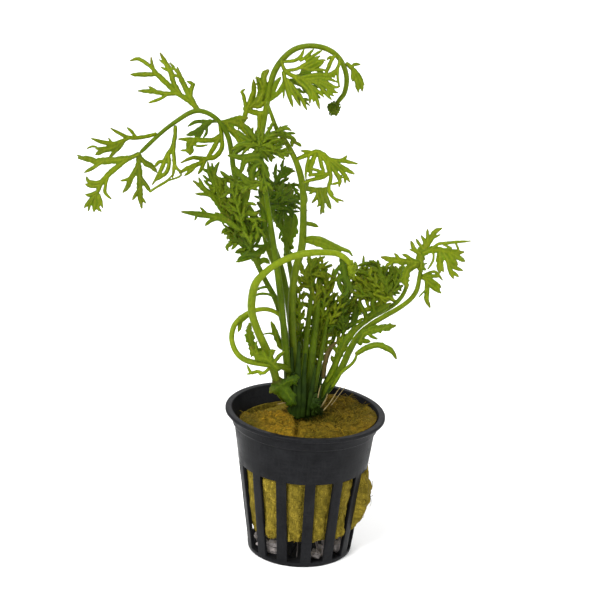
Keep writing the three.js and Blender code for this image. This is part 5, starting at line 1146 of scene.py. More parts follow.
rightStem = {
    "name": "right_frond_stem",
    "finish": "lightlyShadedStem",
    "radius": (1.3, 1, 0.7),
    "path": [
        (3.4, 48.4, -2.4), (4.9, 52.4, -2.4), (6.4, 56, -2.4), (9.4, 60.4, -3), (12.2, 66.4, -3.6),
        (14.3, 72, -4.2), (17, 77.3, -5), (20.8, 81.2, -6), (25.6, 84.6, -7), (29.5, 87.2, -8),
        (33.2, 90.4, -9), (35.2, 93.8, -9.8), (35.8, 98, -10.4), (36.2, 102, -11),
    ],
}
rightLeaves = {
    "right_frond_leaflet_1": {"depth": (-11.2, -0.4, 0.6), "strokes": [
        (2.9, 36.2, 101.6, 35.8, 104.8, 36.7, 107.8, 37.8, 109.4),
        (1.5, 37.4, 108.6, 38.6, 111.2, 39.8, 113.8, 41.9, 115.2),
        (0.9, 37.4, 109, 37.6, 112, 37.4, 114.6), (0.9, 37, 108.6, 36.6, 110.6, 35.5, 112.4),
        (0.8, 36.6, 107.8, 35, 109.6, 33.9, 111.2), (1.2, 35.9, 106, 33.6, 107.6, 32.3, 110.4),
        (0.6, 38.9, 111.6, 41.6, 113), (0.6, 34.6, 106.8, 32.1, 107.6),
    ]},
    "right_frond_leaflet_2": {"depth": (-11.4, -0.6, 0.3), "strokes": [
        (2, 36.6, 106.6, 39.4, 107.8, 43, 107.5, 46.6, 107.2, 49.6, 107.5),
        (0.8, 39, 107.9, 41.2, 109.8, 44, 110.3, 47.4, 110.8, 51.6, 111.3),
        (1.5, 45.4, 107, 48, 105.6, 50.2, 104.4), (1.3, 45, 106.6, 46.6, 104.6, 47.9, 103.1),
        (1.4, 43, 107.2, 44.6, 104.6, 46.4, 102.6, 49.7, 101.2),
        (1.3, 44.8, 104, 45.9, 100.8, 46.9, 98.4), (0.9, 46, 101, 48.6, 99),
        (2.1, 41.8, 107, 42.2, 103.8, 42.3, 100.2),
        (0.5, 39.4, 107.4, 40, 105.6, 39.8, 103.8, 38.4, 101.2), (0.5, 43, 109.6, 45.7, 108.7),
        (0.5, 46.9, 110.4, 48.2, 107.8), (0.6, 42.9, 103.4, 43.5, 100.4),
        (0.5, 40, 106.6, 39.8, 103.8, 38.4, 101.2),
    ]},
    "right_frond_leaflet_3": {"depth": (-10.4, -0.6, -0.4), "strokes": [
        (1.4, 36.6, 98.2, 38.2, 97.4, 38.6, 94, 38.6, 91, 39.9, 88.1),
        (0.8, 37, 99, 40.6, 100.4, 43.4, 97.6), (1.1, 37.6, 98.7, 40.2, 98.9, 42.4, 98.8),
        (1.5, 37.8, 98.2, 40.4, 96.8, 43, 95.2), (1.3, 38, 97.6, 40.2, 95.3, 43.2, 93.2),
        (0.4, 38.2, 94.2, 36.1, 91.5), (0.6, 42, 95.8, 42.8, 93.6),
    ]},
    "right_frond_leaflet_4": {"depth": (-10.8, 0.3, 0.1), "strokes": [
        (2, 35, 103.2, 32.4, 103.5, 29.2, 103.5, 26, 103.9, 23, 104.5), (0.8, 29.4, 103.6, 27.2, 106),
        (1, 33, 103.8, 31.4, 105.2, 29.9, 105.8), (2.3, 34.2, 102.4, 32, 100.8, 31.2, 97.6, 32, 94.5),
        (0.9, 27, 103.4, 24.8, 101.6),
    ]},
}
growFrond(rightStem, "litLeaf", rightLeaves)

innerRightStem = {
    "name": "inner_right_stem",
    "finish": "shadedStem",
    "radius": (1.05, 0.9, 0.65),
    "path": [
        (3.9, 49.4, 1.2), (5, 55, 2.4), (8.6, 64, 4), (11.8, 72, 5.6), (15.4, 78.6, 7.2),
        (20.4, 83.4, 9), (25.4, 86.6, 10.6), (29, 89.4, 11.8), (31.2, 93, 12.6), (32, 97, 13.2),
    ],
}
innerRightLeaves = {
    "inner_right_leaflet_1": {"feathered": True, "depth": (13.8, 0.1, 0.25), "strokes": [
        (3, 31, 97, 29.6, 99.4, 29.2, 101.6), (3, 30.2, 95, 27.6, 94, 25.8, 96.4, 24.2, 99.2),
        (1.8, 25, 98, 22.6, 100.6, 20.4, 103.4), (1.1, 22, 101.4, 18.6, 102.2, 15.4, 101.2),
        (1.6, 28.6, 95.6, 28.4, 99, 26.4, 101.8), (2.8, 24, 96, 26.4, 99.6, 29.4, 97.8),
        (2.2, 24.6, 95, 24.4, 99, 23.6, 101.8), (1.6, 26, 97, 28.4, 95.4, 30, 93.4),
    ]},
    "inner_right_leaflet_2": {
        "finish": "litLeaf", "feathered": True, "depth": (11.6, 0.25, 0.1), "strokes": [
        (3.1, 28, 89.8, 25, 91, 21.6, 91.6, 18, 91.2, 15, 90.8),
        (2.2, 25, 91.6, 22.4, 94.6, 20, 97.6, 19, 99.8), (1.8, 21.8, 92.4, 18.8, 94.2, 16.4, 97.4),
        (1.7, 25.8, 90.2, 22.8, 88.2, 20.3, 86.8, 17.6, 85.7), (1, 19, 92.4, 16.8, 92.8, 14.9, 95.4),
        (1.2, 26.6, 91.6, 26.4, 94, 24.4, 96.6), (1.6, 24.2, 88.4, 22.4, 91.6, 20.6, 95.4, 19.4, 99.2),
        (2.8, 19.6, 87.6, 18.4, 90.6, 17, 94, 15, 97.6),
        (2.6, 18.6, 91.6, 20.6, 91.8, 24, 90.8, 26.4, 89.6),
    ]},
    "inner_right_leaflet_3": {"depth": (8, -0.3, 0.1), "strokes": [
        (2.1, 18.6, 82, 21, 84.4, 24, 86.8, 26.8, 88.8),
        (1.4, 19.2, 83.4, 18.6, 85, 17.4, 86.8, 16.4, 89.4), (1.2, 21.6, 86, 20.8, 88.6, 21.4, 90.6),
    ]},
    "inner_right_inner_leaf": {"inner": True, "finish": "halfShadedLeaf", "depth": (11, 0.1, 0.1), "strokes": [
        (2.2, 25.6, 89.6, 25.6, 93, 24.8, 96.4, 22.6, 99.2, 20, 100.8),
        (2.2, 25.4, 91, 28, 94.6, 29.6, 98, 29.2, 101.4), (2, 25.2, 95.4, 27.6, 98.6, 27, 101.6),
        (2, 25.4, 90, 22.8, 90.4, 19.6, 91, 17, 92.4, 15, 94.4),
        (2, 19.6, 91, 19.4, 94.6, 17.4, 97.4, 14.8, 100), (1.8, 22.8, 99, 19.4, 98, 16.6, 99.4),
    ]},
}
growFrond(innerRightStem, "halfShadedLeaf", innerRightLeaves)

rightBackStem = {
    "name": "right_back_stem",
    "finish": "shadedStem",
    "radius": (0.9, 0.75, 0.5),
    "path": [
        (2.6, 51, 4.6), (6, 66, 12.5), (9, 77, 15.5), (11.6, 86, 17.5), (14, 93.4, 19),
        (17.4, 98.6, 20.5),
    ],
}
rightBackLeaves = {
    "right_back_leaflet_1": {"feathered": True, "depth": (17, 0.2, 0.2), "strokes": [
        (2.6, 14, 93.6, 15, 96.8, 17.6, 99, 19.4, 99.6), (1.5, 14.8, 96.4, 12.6, 98.2, 11.4, 101.4),
        (1.2, 13.6, 93, 12.2, 92, 10.6, 90, 11, 88.2), (1.6, 16.6, 98.4, 18.2, 96.4, 17.8, 93.6),
        (1.8, 14.4, 94, 17, 97.4, 20.6, 99.4, 24, 101.6), (2.6, 16, 96, 15.4, 99, 13.6, 101),
        (3, 16.6, 97.4, 20, 99, 23, 97, 25, 94.4),
        (2.4, 15.8, 94.4, 19, 96, 22, 94.8, 26, 92.6, 28.6, 91.6),
        (2, 17.4, 99, 18.4, 101.2, 20.6, 102.2), (1.4, 21.6, 98, 23, 100.2, 25.6, 101),
    ]},
    "right_back_leaflet_2": {"feathered": True, "depth": (15.2, -0.15, 0.26), "strokes": [
        (2.6, 11.2, 85, 10.2, 87.6, 11.6, 90.4), (1.8, 10.6, 83.4, 13, 85.8, 15, 88.4),
        (1.2, 10.8, 80.6, 9.4, 81, 7.4, 82, 6, 84.2), (1.2, 11.4, 84.6, 8.6, 86.6, 7.4, 89.8),
        (2.4, 9, 66.6, 10.8, 74, 12.6, 80, 13.8, 86), (2.4, 12.8, 80, 15, 82, 15.8, 85, 15.2, 90.6),
        (2.6, 12.4, 83, 12.6, 88.6, 12, 93, 11, 97, 10.4, 100.6),
        (2.4, 10, 74, 10.6, 78, 11.2, 82, 10.6, 86), (2, 14, 78, 15.6, 81.4, 16.2, 85.4, 15.4, 88.8),
        (1.2, 9.4, 77, 7.8, 81.6, 6.8, 83.4),
    ]},
    "right_back_inner_leaf": {"inner": True, "finish": "lightlyShadedLeaf", "depth": (16, 0.1, 0.1), "strokes": [
        (2.4, 13, 92, 15, 94.4, 17.4, 96.6, 20, 98.2, 23, 99.4),
        (2.4, 15, 94, 18, 93, 20.6, 91.6, 23, 91), (2.2, 16.6, 96, 19.4, 95.2, 22.4, 96.6, 25.4, 97),
        (2.2, 14, 93, 16.4, 90.4, 17.2, 87.6), (2, 12.8, 91.4, 11.4, 94, 11, 97),
    ]},
    "right_back_low_leaf": {"inner": True, "finish": "shadeLeaf", "depth": (12, 0.1, 0.1), "strokes": [
        (2.4, 11.4, 78, 11.6, 82, 11.2, 86, 12, 90, 12.4, 94.6), (2, 11.4, 86, 9.6, 87.6, 8.4, 86.6),
        (1.8, 11, 82.6, 9, 84, 7.4, 87, 7, 90.6), (1.8, 11.2, 79, 8.4, 80.4, 8.2, 76.8),
        (1.6, 11.6, 80, 14.6, 81, 15.4, 84, 15.6, 88),
    ]},
}
growFrond(rightBackStem, "lightlyShadedLeaf", rightBackLeaves)

centrePetioles = [
    {"name": "centre_petiole_1", "finish": "shadedStem", "radius": (1.3, 1.2, 0.7), "path": [
        (0.4, 48.4, -3.6), (1, 58, -1), (1.8, 70, 4), (2.6, 82, 9), (3.4, 96, 13),
    ]},
    {"name": "centre_petiole_2", "finish": "shadedStem", "radius": (1.1, 1, 0.6), "path": [
        (-1, 48.4, -3), (-0.9, 60, 0), (-0.4, 72, 4), (0.2, 84, 9), (1, 95, 12),
    ]},
    {"name": "centre_petiole_3", "finish": "shadedStem", "radius": (0.8, 0.75, 0.5), "path": [
        (2.2, 48.6, -2.6), (3.2, 57, 0), (4.4, 66, 4), (5.6, 76, 9), (6.8, 86, 12),
    ]},
]
lowLeaves = {
    "centre_leaf_1": {"finish": "litLeaf", "feathered": True, "depth": (8.4, 0.1, 0.15), "strokes": [
        (3.6, 1.6, 58, 1.8, 66, 2, 74, 3.2, 82, 4.6, 89, 5, 95.5),
        (1.6, 4.2, 90, 6.6, 92.6, 7.6, 96.4, 7.6, 99.8), (1.6, 3.4, 84.6, 1, 86.4, -2.6, 87.6),
        (1.3, 2.6, 79, 0.6, 81.4, -1.6, 82.4), (1, 4.4, 88.4, 7.8, 90, 9.4, 91.8),
        (1.4, 5, 92, 3.2, 94.2, 2.6, 96.6), (3, 3.4, 57, 4.2, 66, 5, 74, 7.2, 82, 8.6, 88),
        (2.2, 5.2, 76, 8, 83, 10, 87, 10.6, 91), (2, 4.4, 70, 6.6, 76, 9.4, 80, 11.6, 82),
        (2.2, 4.4, 80, 2.4, 85, 2, 89, 3.6, 94.6),
        (1.8, 0.6, 57.4, -1.6, 66, -2.6, 75, -3.1, 84, -3.2, 91, -2.6, 96.5),
        (4, 0.6, 92, -1, 95.4, -1.4, 98.4, 0.2, 101), (3.4, 0.8, 97.6, 3.6, 98.4, 6.2, 96.6),
        (2.8, 3, 76, 3.4, 82, 3.8, 88, 3.4, 94), (2.4, 5.6, 76, 6, 82, 6.4, 88, 6.2, 93.6),
        (1.2, 2, 92.8, 0, 93.3, -2.6, 93.6), (0.8, -2.8, 92, -4, 92.8, -5.4, 91),
        (0.8, 0.4, 89, -1, 91, -2.4, 88.6), (1.2, 6.4, 88, 7.8, 90.4, 9.4, 91.6),
        (1, 6, 84, 7.8, 85.6, 9.6, 85),
    ]},
    "centre_leaf_2": {"finish": "litLeaf", "feathered": True, "depth": (15.2, 0.1, 0.1), "strokes": [
        (1.2, -5.2, 90.2, -2.6, 93.4, -0.4, 95.8, 2, 98.2),
        (4, -1.2, 95.4, -1, 99.2, 0.4, 102, 1.8, 103.4),
        (3.2, -0.6, 96.6, 1.6, 97.9, 3.8, 98.6, 5.4, 98.4), (2.4, 1.4, 98.6, 3.4, 100.6, 3.8, 102.8),
    ]},
    "broad_leaf": {"finish": "shadeLeaf", "depth": (-8.7, 0.2, 0.15), "strokes": [
        (4.4, -4.2, 60.4, -6.6, 59.4, -9.2, 57.6, -11.4, 55.8),
        (4.4, -4.4, 53.4, -6, 55.6, -7.8, 57.6, -9.4, 60),
    ]},
    "spoon_leaf": {"depth": (-9.5, 0, 0), "strokes": [
        (2.5, -14.4, 70, -16.8, 69.9, -18.2, 72.2, -19.2, 75, -19.4, 77.4, -19.4, 79.6),
    ]},
    "slender_leaf": {"depth": (-4.4, 0.25, -0.15), "strokes": [
        (1.7, -6.4, 71.4, -8.5, 72, -9.5, 73.8, -10.5, 76.4, -11.4, 78.8, -12.2, 80.6),
        (0.5, -10.2, 75.4, -12.2, 76.6, -14.7, 76.2),
    ]},
    "low_right_leaf_1": {"depth": (-7.6, -0.2, 0.1), "strokes": [
        (2.4, 17.4, 75, 18.6, 77.8, 20.4, 79, 24, 79.9, 26.6, 80.6, 28.8, 81.3),
        (0.9, 19.6, 78.4, 21.4, 77, 23.2, 76.3), (1.5, 17.6, 75.6, 19.2, 75.4, 20.8, 75.2),
    ]},
    "low_right_leaf_2": {"depth": (-8.6, -0.35, 0.1), "strokes": [
        (0.9, 9.2, 58.8, 11.8, 63.8, 15.6, 67.6, 17, 71.6),
        (1.8, 16.8, 71, 19.4, 72.8, 23, 74.1, 26.3, 73.4, 28.6, 71.8, 29.8, 69.7),
    ]},
    "low_right_leaf_3": {"depth": (-1.6, -0.2, 0.1), "strokes": [
        (1.4, 7.4, 60.4, 9.2, 64.2, 10.6, 68.8, 12.4, 73.4),
        (2.2, 11.2, 70.2, 12.4, 74.4, 14.6, 77.6, 16.6, 80.4), (1.4, 11.6, 72, 14, 72.4, 15.2, 71.6),
    ]},
    "withered_leaf": {"finish": "withered", "depth": (2.4, 0.1, 0.1), "strokes": [
        (1.4, 5.9, 62, 6.3, 67, 7.4, 71.4, 9.8, 74.7),
    ]},
    "centre_leaf_3": {"inner": True, "finish": "lightlyShadedLeaf", "depth": (10, 0.1, 0.1), "strokes": [
        (2.6, 1.2, 56, 1.4, 66, 1.6, 76, 1.8, 84, 2.4, 93), (2.4, 1.6, 70, 3.8, 76, 4.6, 84, 5.4, 93.6),
        (2.2, 3.8, 74, 6.6, 78, 7.8, 84, 8.4, 90), (1.8, 1.2, 66, -1.4, 72, -2.5, 78, -2.8, 84, -3, 89),
        (3.2, 2.2, 92, 0.6, 96, 0, 99.4, 0.6, 102.4), (3, 2.4, 93, 3.8, 97, 5.6, 99.6),
        (2.4, 5.4, 92, 6.8, 95.4, 8.4, 98),
    ]},
}
for petiole in centrePetioles:
    growStem(petiole, hasNode=False)
growLeaves(lowLeaves, "lightlyShadedLeaf")
print("fronds and leaves grown")


# Net pot (millimetres)
pot = {
    "height": 50.0,
    "rimRadius": 27.0,
    "rimWidth": 2.3,
    "rimThickness": 1.3,
    "collarDrop": 5.2,
    "collarRadius": 24.6,
    "wallTopRadius": 23.8,
    "baseRadius": 17.7,
    "thickness": 1.2,
    "slots": 14,
    "slotTurn": -5.8,
    "slotBottom": 1.6,
    "slotTop": 32.0,
    "slotWidthTop": 6.3,
    "slotWidthBottom": 4.4,
    "baseUnder": 0.5,
    "baseOver": 1.2,
    "shift": 0.4,
    "lean": 0.03,
    "ripple": 0.05,
    "rippleSize": 14,
    "edgeRadius": 0.22,
    "edgeAngle": 50,
}


def wallAt(z):
    neck = pot["height"] - pot["collarDrop"]
    return pot["baseRadius"] + (pot["wallTopRadius"] - pot["baseRadius"]) * np.asarray(z, float) / neck


def innerAt(z):
    # inner radius of the pot, which flares out above its neck
    neck = pot["height"] - pot["collarDrop"]
    flare = pot["rimRadius"] - pot["rimWidth"] - pot["wallTopRadius"] + pot["thickness"]
    straight = np.minimum(wallAt(z), pot["wallTopRadius"]) - pot["thickness"]
    return straight + flare * np.clip((z - neck) / pot["collarDrop"], 0, 1)


def leanPot(points):
    # the soft pot is out of true: its rim is higher on the left
    points = np.array(points, float)
    points[:, 2] -= pot["lean"] * points[:, 0] * np.maximum(points[:, 2], 0) / pot["height"]
    points[:, 0] += pot["shift"]
    return points


def slotHalf(z):
    span = [pot["slotBottom"], pot["slotTop"]]
    return np.interp(z, span, [pot["slotWidthBottom"], pot["slotWidthTop"]]) / 2


def ringAngles(radius, z, steps):
    # angles of one ring's points: each slot's edges always fall on points
    half = math.asin(min(0.9, slotHalf(z) / max(radius, 8)))
    pitch = 2 * math.pi / pot["slots"]
    first = math.radians(pot["slotTurn"])
    angles = []
    for k in range(pot["slots"]):
        across = np.linspace(-half, half, steps + 1)
        rib = np.linspace(half, pitch - half, steps + 1)
        angles.append(first + k * pitch + np.r_[across[:-1], rib[:-1]])
    return np.concatenate(angles)


def aroundAxis(radius, angles, z):
    # points at angles that are counted from the front towards the right
    x, y, z = np.broadcast_arrays(radius * np.sin(angles), -radius * np.cos(angles), z)
    return np.stack([x, y, z], -1)


def makePot(steps=5):
    # rows of radius, height and whether slots cut them: from under the base up the outside,
    # over the rim and down the inside
    top = pot["height"]
    neck = top - pot["collarDrop"]
    under = top - pot["rimThickness"]
    base, collar, rim = pot["baseRadius"], pot["collarRadius"], pot["rimRadius"]
    inside = rim - pot["rimWidth"]
    belowSlots, aboveSlots = pot["slotBottom"] - 0.1, pot["slotTop"] + 0.01
    slotHeights = np.r_[pot["slotBottom"], np.linspace(4.5, 29.4, 10), pot["slotTop"]]
    heights = np.r_[slotHeights, np.linspace(35, neck - 0.7, 4)]
    outer = [(4, pot["baseUnder"], 0), (base - 1.7, pot["baseUnder"], 0), (base - 1.2, 0, 0)]
    outer += [(base - 0.25, 0, 0), (base + 0.02, 0.25, 0)]
    outer += [(float(wallAt(z)), z, 1) for z in heights]
    outer += [(pot["wallTopRadius"] + 0.02, neck, 0), (collar - 0.1, neck + 0.35, 0)]
    outer += [(collar, neck + 0.8, 0), (inside + 0.2, under - 0.5, 0)]
    outer += [(inside + 0.55, under - 0.05, 0), (rim - 0.35, under, 0), (rim, under + 0.35, 0)]
    outer += [(rim, top - 0.4, 0), (rim - 0.15, top - 0.12, 0), (rim - 0.5, top, 0)]
    outer += [(inside + 0.5, top, 0), (inside + 0.12, top - 0.1, 0), (inside, top - 0.45, 0)]
    inner = [(inside - 0.5, 48.2, 0), (pot["wallTopRadius"] - pot["thickness"] + 0.1, neck, 0)]
    inner += [(float(wallAt(z)) - pot["thickness"], z, 1) for z in heights[::-1]]
    inner += [(reach, pot["baseOver"], 0) for reach in (base - 1.5, base - 4, 4)]
    rows = outer + inner
    columns = 2 * steps * pot["slots"]

    def isHole(row, column):
        low, high = sorted((rows[row][1], rows[row + 1][1]))
        cut = rows[row][2] and rows[row + 1][2] and column % (2 * steps) < steps
        return cut and low >= belowSlots and high <= aboveSlots

    points = [aroundAxis(radius, ringAngles(radius, z, steps), z) for radius, z, _ in rows]
    points = np.vstack(points + [[[0, 0, pot["baseUnder"]], [0, 0, pot["baseOver"]]]])
    faces = ringFaces(len(rows), columns, isHole)
    wallRows = [k for k, row in enumerate(rows) if row[2] and row[1] <= aboveSlots]
    outerRows = [k * columns for k in wallRows if k < len(outer)]
    innerRows = [k * columns for k in wallRows if k >= len(outer)][::-1]
    foot, head, footIn, headIn = outerRows[0], outerRows[-1], innerRows[0], innerRows[-1]
    for left in range(0, columns, 2 * steps):
        right = left + steps
        for i in range(len(outerRows) - 1):
            o, p, q, r = outerRows[i], outerRows[i + 1], innerRows[i], innerRows[i + 1]
            faces.append((o + left, p + left, r + left, q + left))
            faces.append((o + right, q + right, r + right, p + right))
        for j in range(left, right):
            faces.append((foot + j, footIn + j, footIn + j + 1, foot + j + 1))
            faces.append((head + j, head + j + 1, headIn + j + 1, headIn + j))
    ripples = pot["ripple"] * waves(points, pot["rippleSize"], 5)
    radial = points[:, :2] / (np.linalg.norm(points[:, :2], axis=1)[:, None] + 1e-6)
    points[:, :2] += radial * (ripples * (points[:, 2] > 3))[:, None]
    sheaf = Sheaf()
    sheaf.add(leanPot(points), faces, (0, 0, 0))
    piece = sheaf.build("net_pot_shell", potPlastic, "pot_plastic", "net_pot")
    fixNormals(piece)
    edges = piece.modifiers.new("mouldedEdges", "BEVEL")
    edges.width = pot["edgeRadius"] * millimetre
    edges.segments = 2
    edges.limit_method = "ANGLE"
    edges.angle_limit = math.radians(pot["edgeAngle"])
    edges.use_clamp_overlap = True


plastic = {
    "deep": (0.004, 0.0042, 0.005),
    "film": (0.009, 0.0092, 0.0105),
    "scuffed": (0.035, 0.036, 0.038),
    "dusty": (0.06, 0.06, 0.056),
    "scuffs": 0.2,
    "dust": 0.03,
    "roughness": 0.3,
    "wornRoughness": 0.2,
    "filmRoughness": 0.14,
}


def makePlastic():
    # satin black moulding: fine scuffs, grey scratches and a film of dust
    material, tree, shader = newMaterial("potPlastic", plastic["roughness"], 0.05)
    film = useGroup(tree, mottle, Size=0.007, Detail=6.0, Contrast=2.0)
    grit = useGroup(tree, mottle, Size=0.0006, Detail=2.0, Contrast=6.0)
    scuffs = useGroup(tree, streaks, Width=0.0009, Stretch=(1.0, 1.0, 0.16))
    cross = useGroup(tree, streaks, Width=0.0006, Stretch=(0.12, 0.12, 1.0))
    lines = mathNode(tree, "MAXIMUM", scuffs.outputs["Mask"], cross.outputs["Mask"])
    worn = mathNode(tree, "MULTIPLY", lines, film.outputs["Mask"])
    colour = mixNode(tree, film.outputs["Mask"], plastic["deep"], plastic["film"])
    colour = tint(tree, colour, worn, plastic["scuffs"], plastic["scuffed"])
    colour = tint(tree, colour, grit.outputs["Mask"], plastic["dust"], plastic["dusty"])
    tree.links.new(colour, shader.inputs["Base Color"])
    gloss = mathNode(tree, "MULTIPLY", worn, plastic["wornRoughness"])
    gloss = mathNode(tree, "ADD", gloss, plastic["roughness"])
    dull = mathNode(tree, "MULTIPLY", film.outputs["Mask"], plastic["filmRoughness"])
    tree.links.new(mathNode(tree, "ADD", gloss, dull), shader.inputs["Roughness"])
    bump(tree, shader, mathNode(tree, "ADD", lines, grit.outputs["Height"]), 0.06, 0.0002)
    return material


potPlastic = makePlastic()
makePot()
print("net pot made")

# Mineral wool plug (millimetres): its top is torn, and it swells through the slots
wool = {
    "bottom": 8.4,
    "top": 48.4,
    "rise": 0.07,
    "fall": 0.06,
    "clear": 0.45,
    "wallTop": 44.5,
    "slotDepth": -0.9,
    "swellAt": [8.4, 14, 21, 27, 31.6],
    "swellShare": [0.1, 0.75, 1, 0.8, 0.3],
    "lowTufts": {13: 0.6, 0: 1.5, 1: 0.5, 2: 0.7},
    "sideSwell": {2: 0.9, 3: 4.6, 4: 3.2, 5: 1.0},
    "stepLine": -3.0,
    "fibres": 2600,
    "fibreRadius": 0.075,
}


def woolTopAt(x, y):
    # torn pads: high and folded front left, a roll in front, a hollow by the crown, a rise on the right
    height = wool["top"] + wool["rise"] * x - wool["fall"] * y
    front = smoothStep(-y, 3, 9)
    leftPad = smoothStep(wool["stepLine"] - x, -0.25, 0.9) * front
    roll = smoothStep(-y, 10, 12.5) * smoothStep(12 - x, 0, 5) * (1 - leftPad)
    hollow = smoothStep(x, -3, 0) * smoothStep(14 - x, 0, 5)
    hollow *= smoothStep(-y, 2, 5) * smoothStep(y, -11.5, -9)
    rightRise = smoothStep(x, 10, 20) * smoothStep(12 - y, 0, 8)
    backDip = smoothStep(-x, 3, 12) * smoothStep(y, -1, 8)
    pads = 2.3 * leftPad + 0.9 * roll - 2.3 * hollow + 1.0 * rightRise - 3.2 * backDip
    groove = np.exp(-(((x - wool["stepLine"] - 0.5) / 0.7) ** 2)) * smoothStep(-y, 4, 8)
    return height + pads - 2.0 * groove


def makeWool(steps=9):
    columns = 2 * steps * pot["slots"]
    plan = ringAngles(20, 20, steps)
    slotIndex = np.arange(columns) // (2 * steps)
    inSlot = np.arange(columns) % (2 * steps)
    gap = pot["thickness"] + wool["clear"]
    rings = [aroundAxis(radius, plan, wool["bottom"]) for radius in (3, 8, 13, 15.5)]
    for z in np.linspace(wool["bottom"] + 0.4, wool["wallTop"], 64):
        angles = ringAngles(float(wallAt(z)), z, steps)
        radius = np.full(columns, float(wallAt(z)) - gap)
        if z < pot["slotTop"] - 0.4:
            share = np.interp(z, wool["swellAt"], wool["swellShare"])
            for k in range(pot["slots"]):
                out = wool["sideSwell"].get(k, 0) * share + wool["slotDepth"]
                out += 0.3 * math.sin(2.3 * k + z * 0.31)
                out += wool["lowTufts"].get(k, 0) * math.exp(-(((z - 11.5) / 2.4) ** 2))
                own = slotIndex == k
                across = np.clip(inSlot / steps * 2 - 1, -1, 1)
                wander = 0.1 + 0.07 * math.sin(0.9 * z + 4 * k) + 0.05 * math.sin(2.3 * z + k)
                off = (across + wander * (1 + across)) / (1 + 0.3 * wander)
                dome = np.sqrt(np.clip(1 - off**2, 0, 1))
                push = (out + gap) * smoothStep(dome, 0.05, 0.8)
                radius = np.where(own & (inSlot > 0) & (inSlot < steps), radius + push, radius)
        rings.append(aroundAxis(radius, angles, z))
    edge = float(wallAt(wool["wallTop"])) - gap
    for share in np.r_[np.linspace(1.03, 0.9, 9), np.linspace(0.885, 0.05, 62)]:
        x, y = edge * share * np.sin(plan), -edge * share * np.cos(plan)
        height = woolTopAt(x, y) - 1.6 * smoothStep(share, 0.93, 1.03)
        rings.append(aroundAxis((innerAt(height) - 0.25) * share / 1.03, plan, height))
    points = np.vstack(rings)
    outward = points / (np.linalg.norm(points, axis=1)[:, None] + 1e-6)
    outward[:, 2] = 0
    onTop = smoothStep(points[:, 2], 45.5, 47.5)
    radiusNow = np.linalg.norm(points[:, :2], axis=1)
    free = np.clip((radiusNow - wallAt(points[:, 2]) + gap) / 1.6, 0, 1)
    lumps = 0.5 * waves(points, 7, 11) + 0.4 * waves(points, 2.6, 12)
    crumbs = waves(points * (1, 1, 0.45), 1.1, 13)
    creases = waves(points * (1, 1, 0.22), 2.4, 14)
    swell = 0.3 * lumps + 0.16 * crumbs + 0.22 * creases - 0.15
    points += outward * (swell * (0.25 + free) * (1 - onTop))[:, None]
    tears = 1 - np.abs(waves(points, 5.5, 17, 5))
    relief = 0.9 * lumps + 0.34 * crumbs + 0.6 * tears
    points[:, 2] += relief * onTop * smoothStep(edge + 0.6 - radiusNow, 0, 1.8)
    ragged = smoothStep(points[:, 2], wool["bottom"] + 2, wool["bottom"])
    points[:, 2] += ragged * (0.8 + 0.5 * waves(points, 5, 15)) * (radiusNow > 12)
    points = np.vstack([points, [[0, 0, wool["bottom"]], [0, 0, float(woolTopAt(0.0, 0.0))]]])
    # the crumb mark is low in the dips of the crumbs' relief, where the finish darkens the wool as
    # painted shade
    crumbMark = smoothStep(np.r_[crumbs, 0, 0], -1.5, 1.5)
    pad = smoothStep(-points[:, 0], 2.9, 3.5) * smoothStep(18 + points[:, 0], 0, 7)
    pad *= smoothStep(-points[:, 1], -3, 5)
    pad *= 0.75 + 0.25 * smoothStep(waves(points * (1, 0.2, 1), 1.5, 19), -1, 1)
    fromCrown = np.linalg.norm(points[:, :2] - (1, -2), axis=1)
    # the light mark: higher on the tops of the lumps than in their dips (painted light and shade),
    # higher on the left pad and on the sides below the top
    light = 0.36 * smoothStep(np.r_[lumps, 0, 0], -1, 1) + 0.75 * pad
    light += 0.5 * smoothStep(46 - points[:, 2], 0, 4) * (1 - 0.6 * pad)
    # painted shadow: the top is darker within a few millimetres of the crown, under the fronds
    light *= np.where(points[:, 2] > 44, smoothStep(fromCrown, 4, 10), 1)
    marks = np.stack([crumbMark, light, np.r_[onTop, 0, 1]], 1)
    points = leanPot(points)
    sheaf = Sheaf()
    sheaf.add(points, ringFaces(len(rings), columns), marks)
    addWoolFibres(sheaf, points[:-2].reshape(len(rings), columns, 3))
    fixNormals(sheaf.build("rock_wool_plug", woolFinish, "mineral_wool", "rock_wool"))


def addWoolFibres(sheaf, grid):
    # loose strands that lie on the wool and stand off its torn edges
    rng = np.random.default_rng(21)
    rowCount, columns = grid.shape[:2]
    for _ in range(wool["fibres"]):
        row = rng.integers(6, rowCount - 2)
        column = rng.integers(0, columns)
        base = grid[row, column]
        beside = grid[row, (column + 1) % columns] - base
        above = grid[min(row + 1, rowCount - 1), column] - base
        out = np.cross(beside, above)
        size = np.linalg.norm(out)
        top = base[2] > 46.5
        if size < 1e-6 or (not top and np.linalg.norm(base[:2]) < wallAt(base[2]) - 0.6):
            continue
        out /= size
        if not top and out[:2] @ base[:2] < 0 or top and out[2] < 0:
            out = -out
        along = rng.normal(size=3) * ((1, 1, 0.3) if top else (0.4, 0.4, 1))
        along -= out * (along @ out)
        along /= np.linalg.norm(along) + 1e-6
        coarse = top and base[0] > 8
        length = rng.uniform(2.2, 5.4) if coarse else rng.uniform(1.2, 3.4)
        lift = rng.uniform(0.05, 0.5) * (1.6 if coarse else 1)
        t = np.linspace(-0.5, 0.5, 4)[:, None]
        line = base + along * length * t + out * (lift * (1 - (2 * t) ** 2) - 0.08)
        line = line + np.cross(along, out) * length * 0.15 * (t**2 * rng.normal())
        shade = (rng.uniform(0.1, 1), rng.uniform(0.1, 1.2))
        radius = wool["fibreRadius"] * rng.uniform(0.7, 1.5)
        addTube(sheaf, line, radius, sides=3, marks=shade)


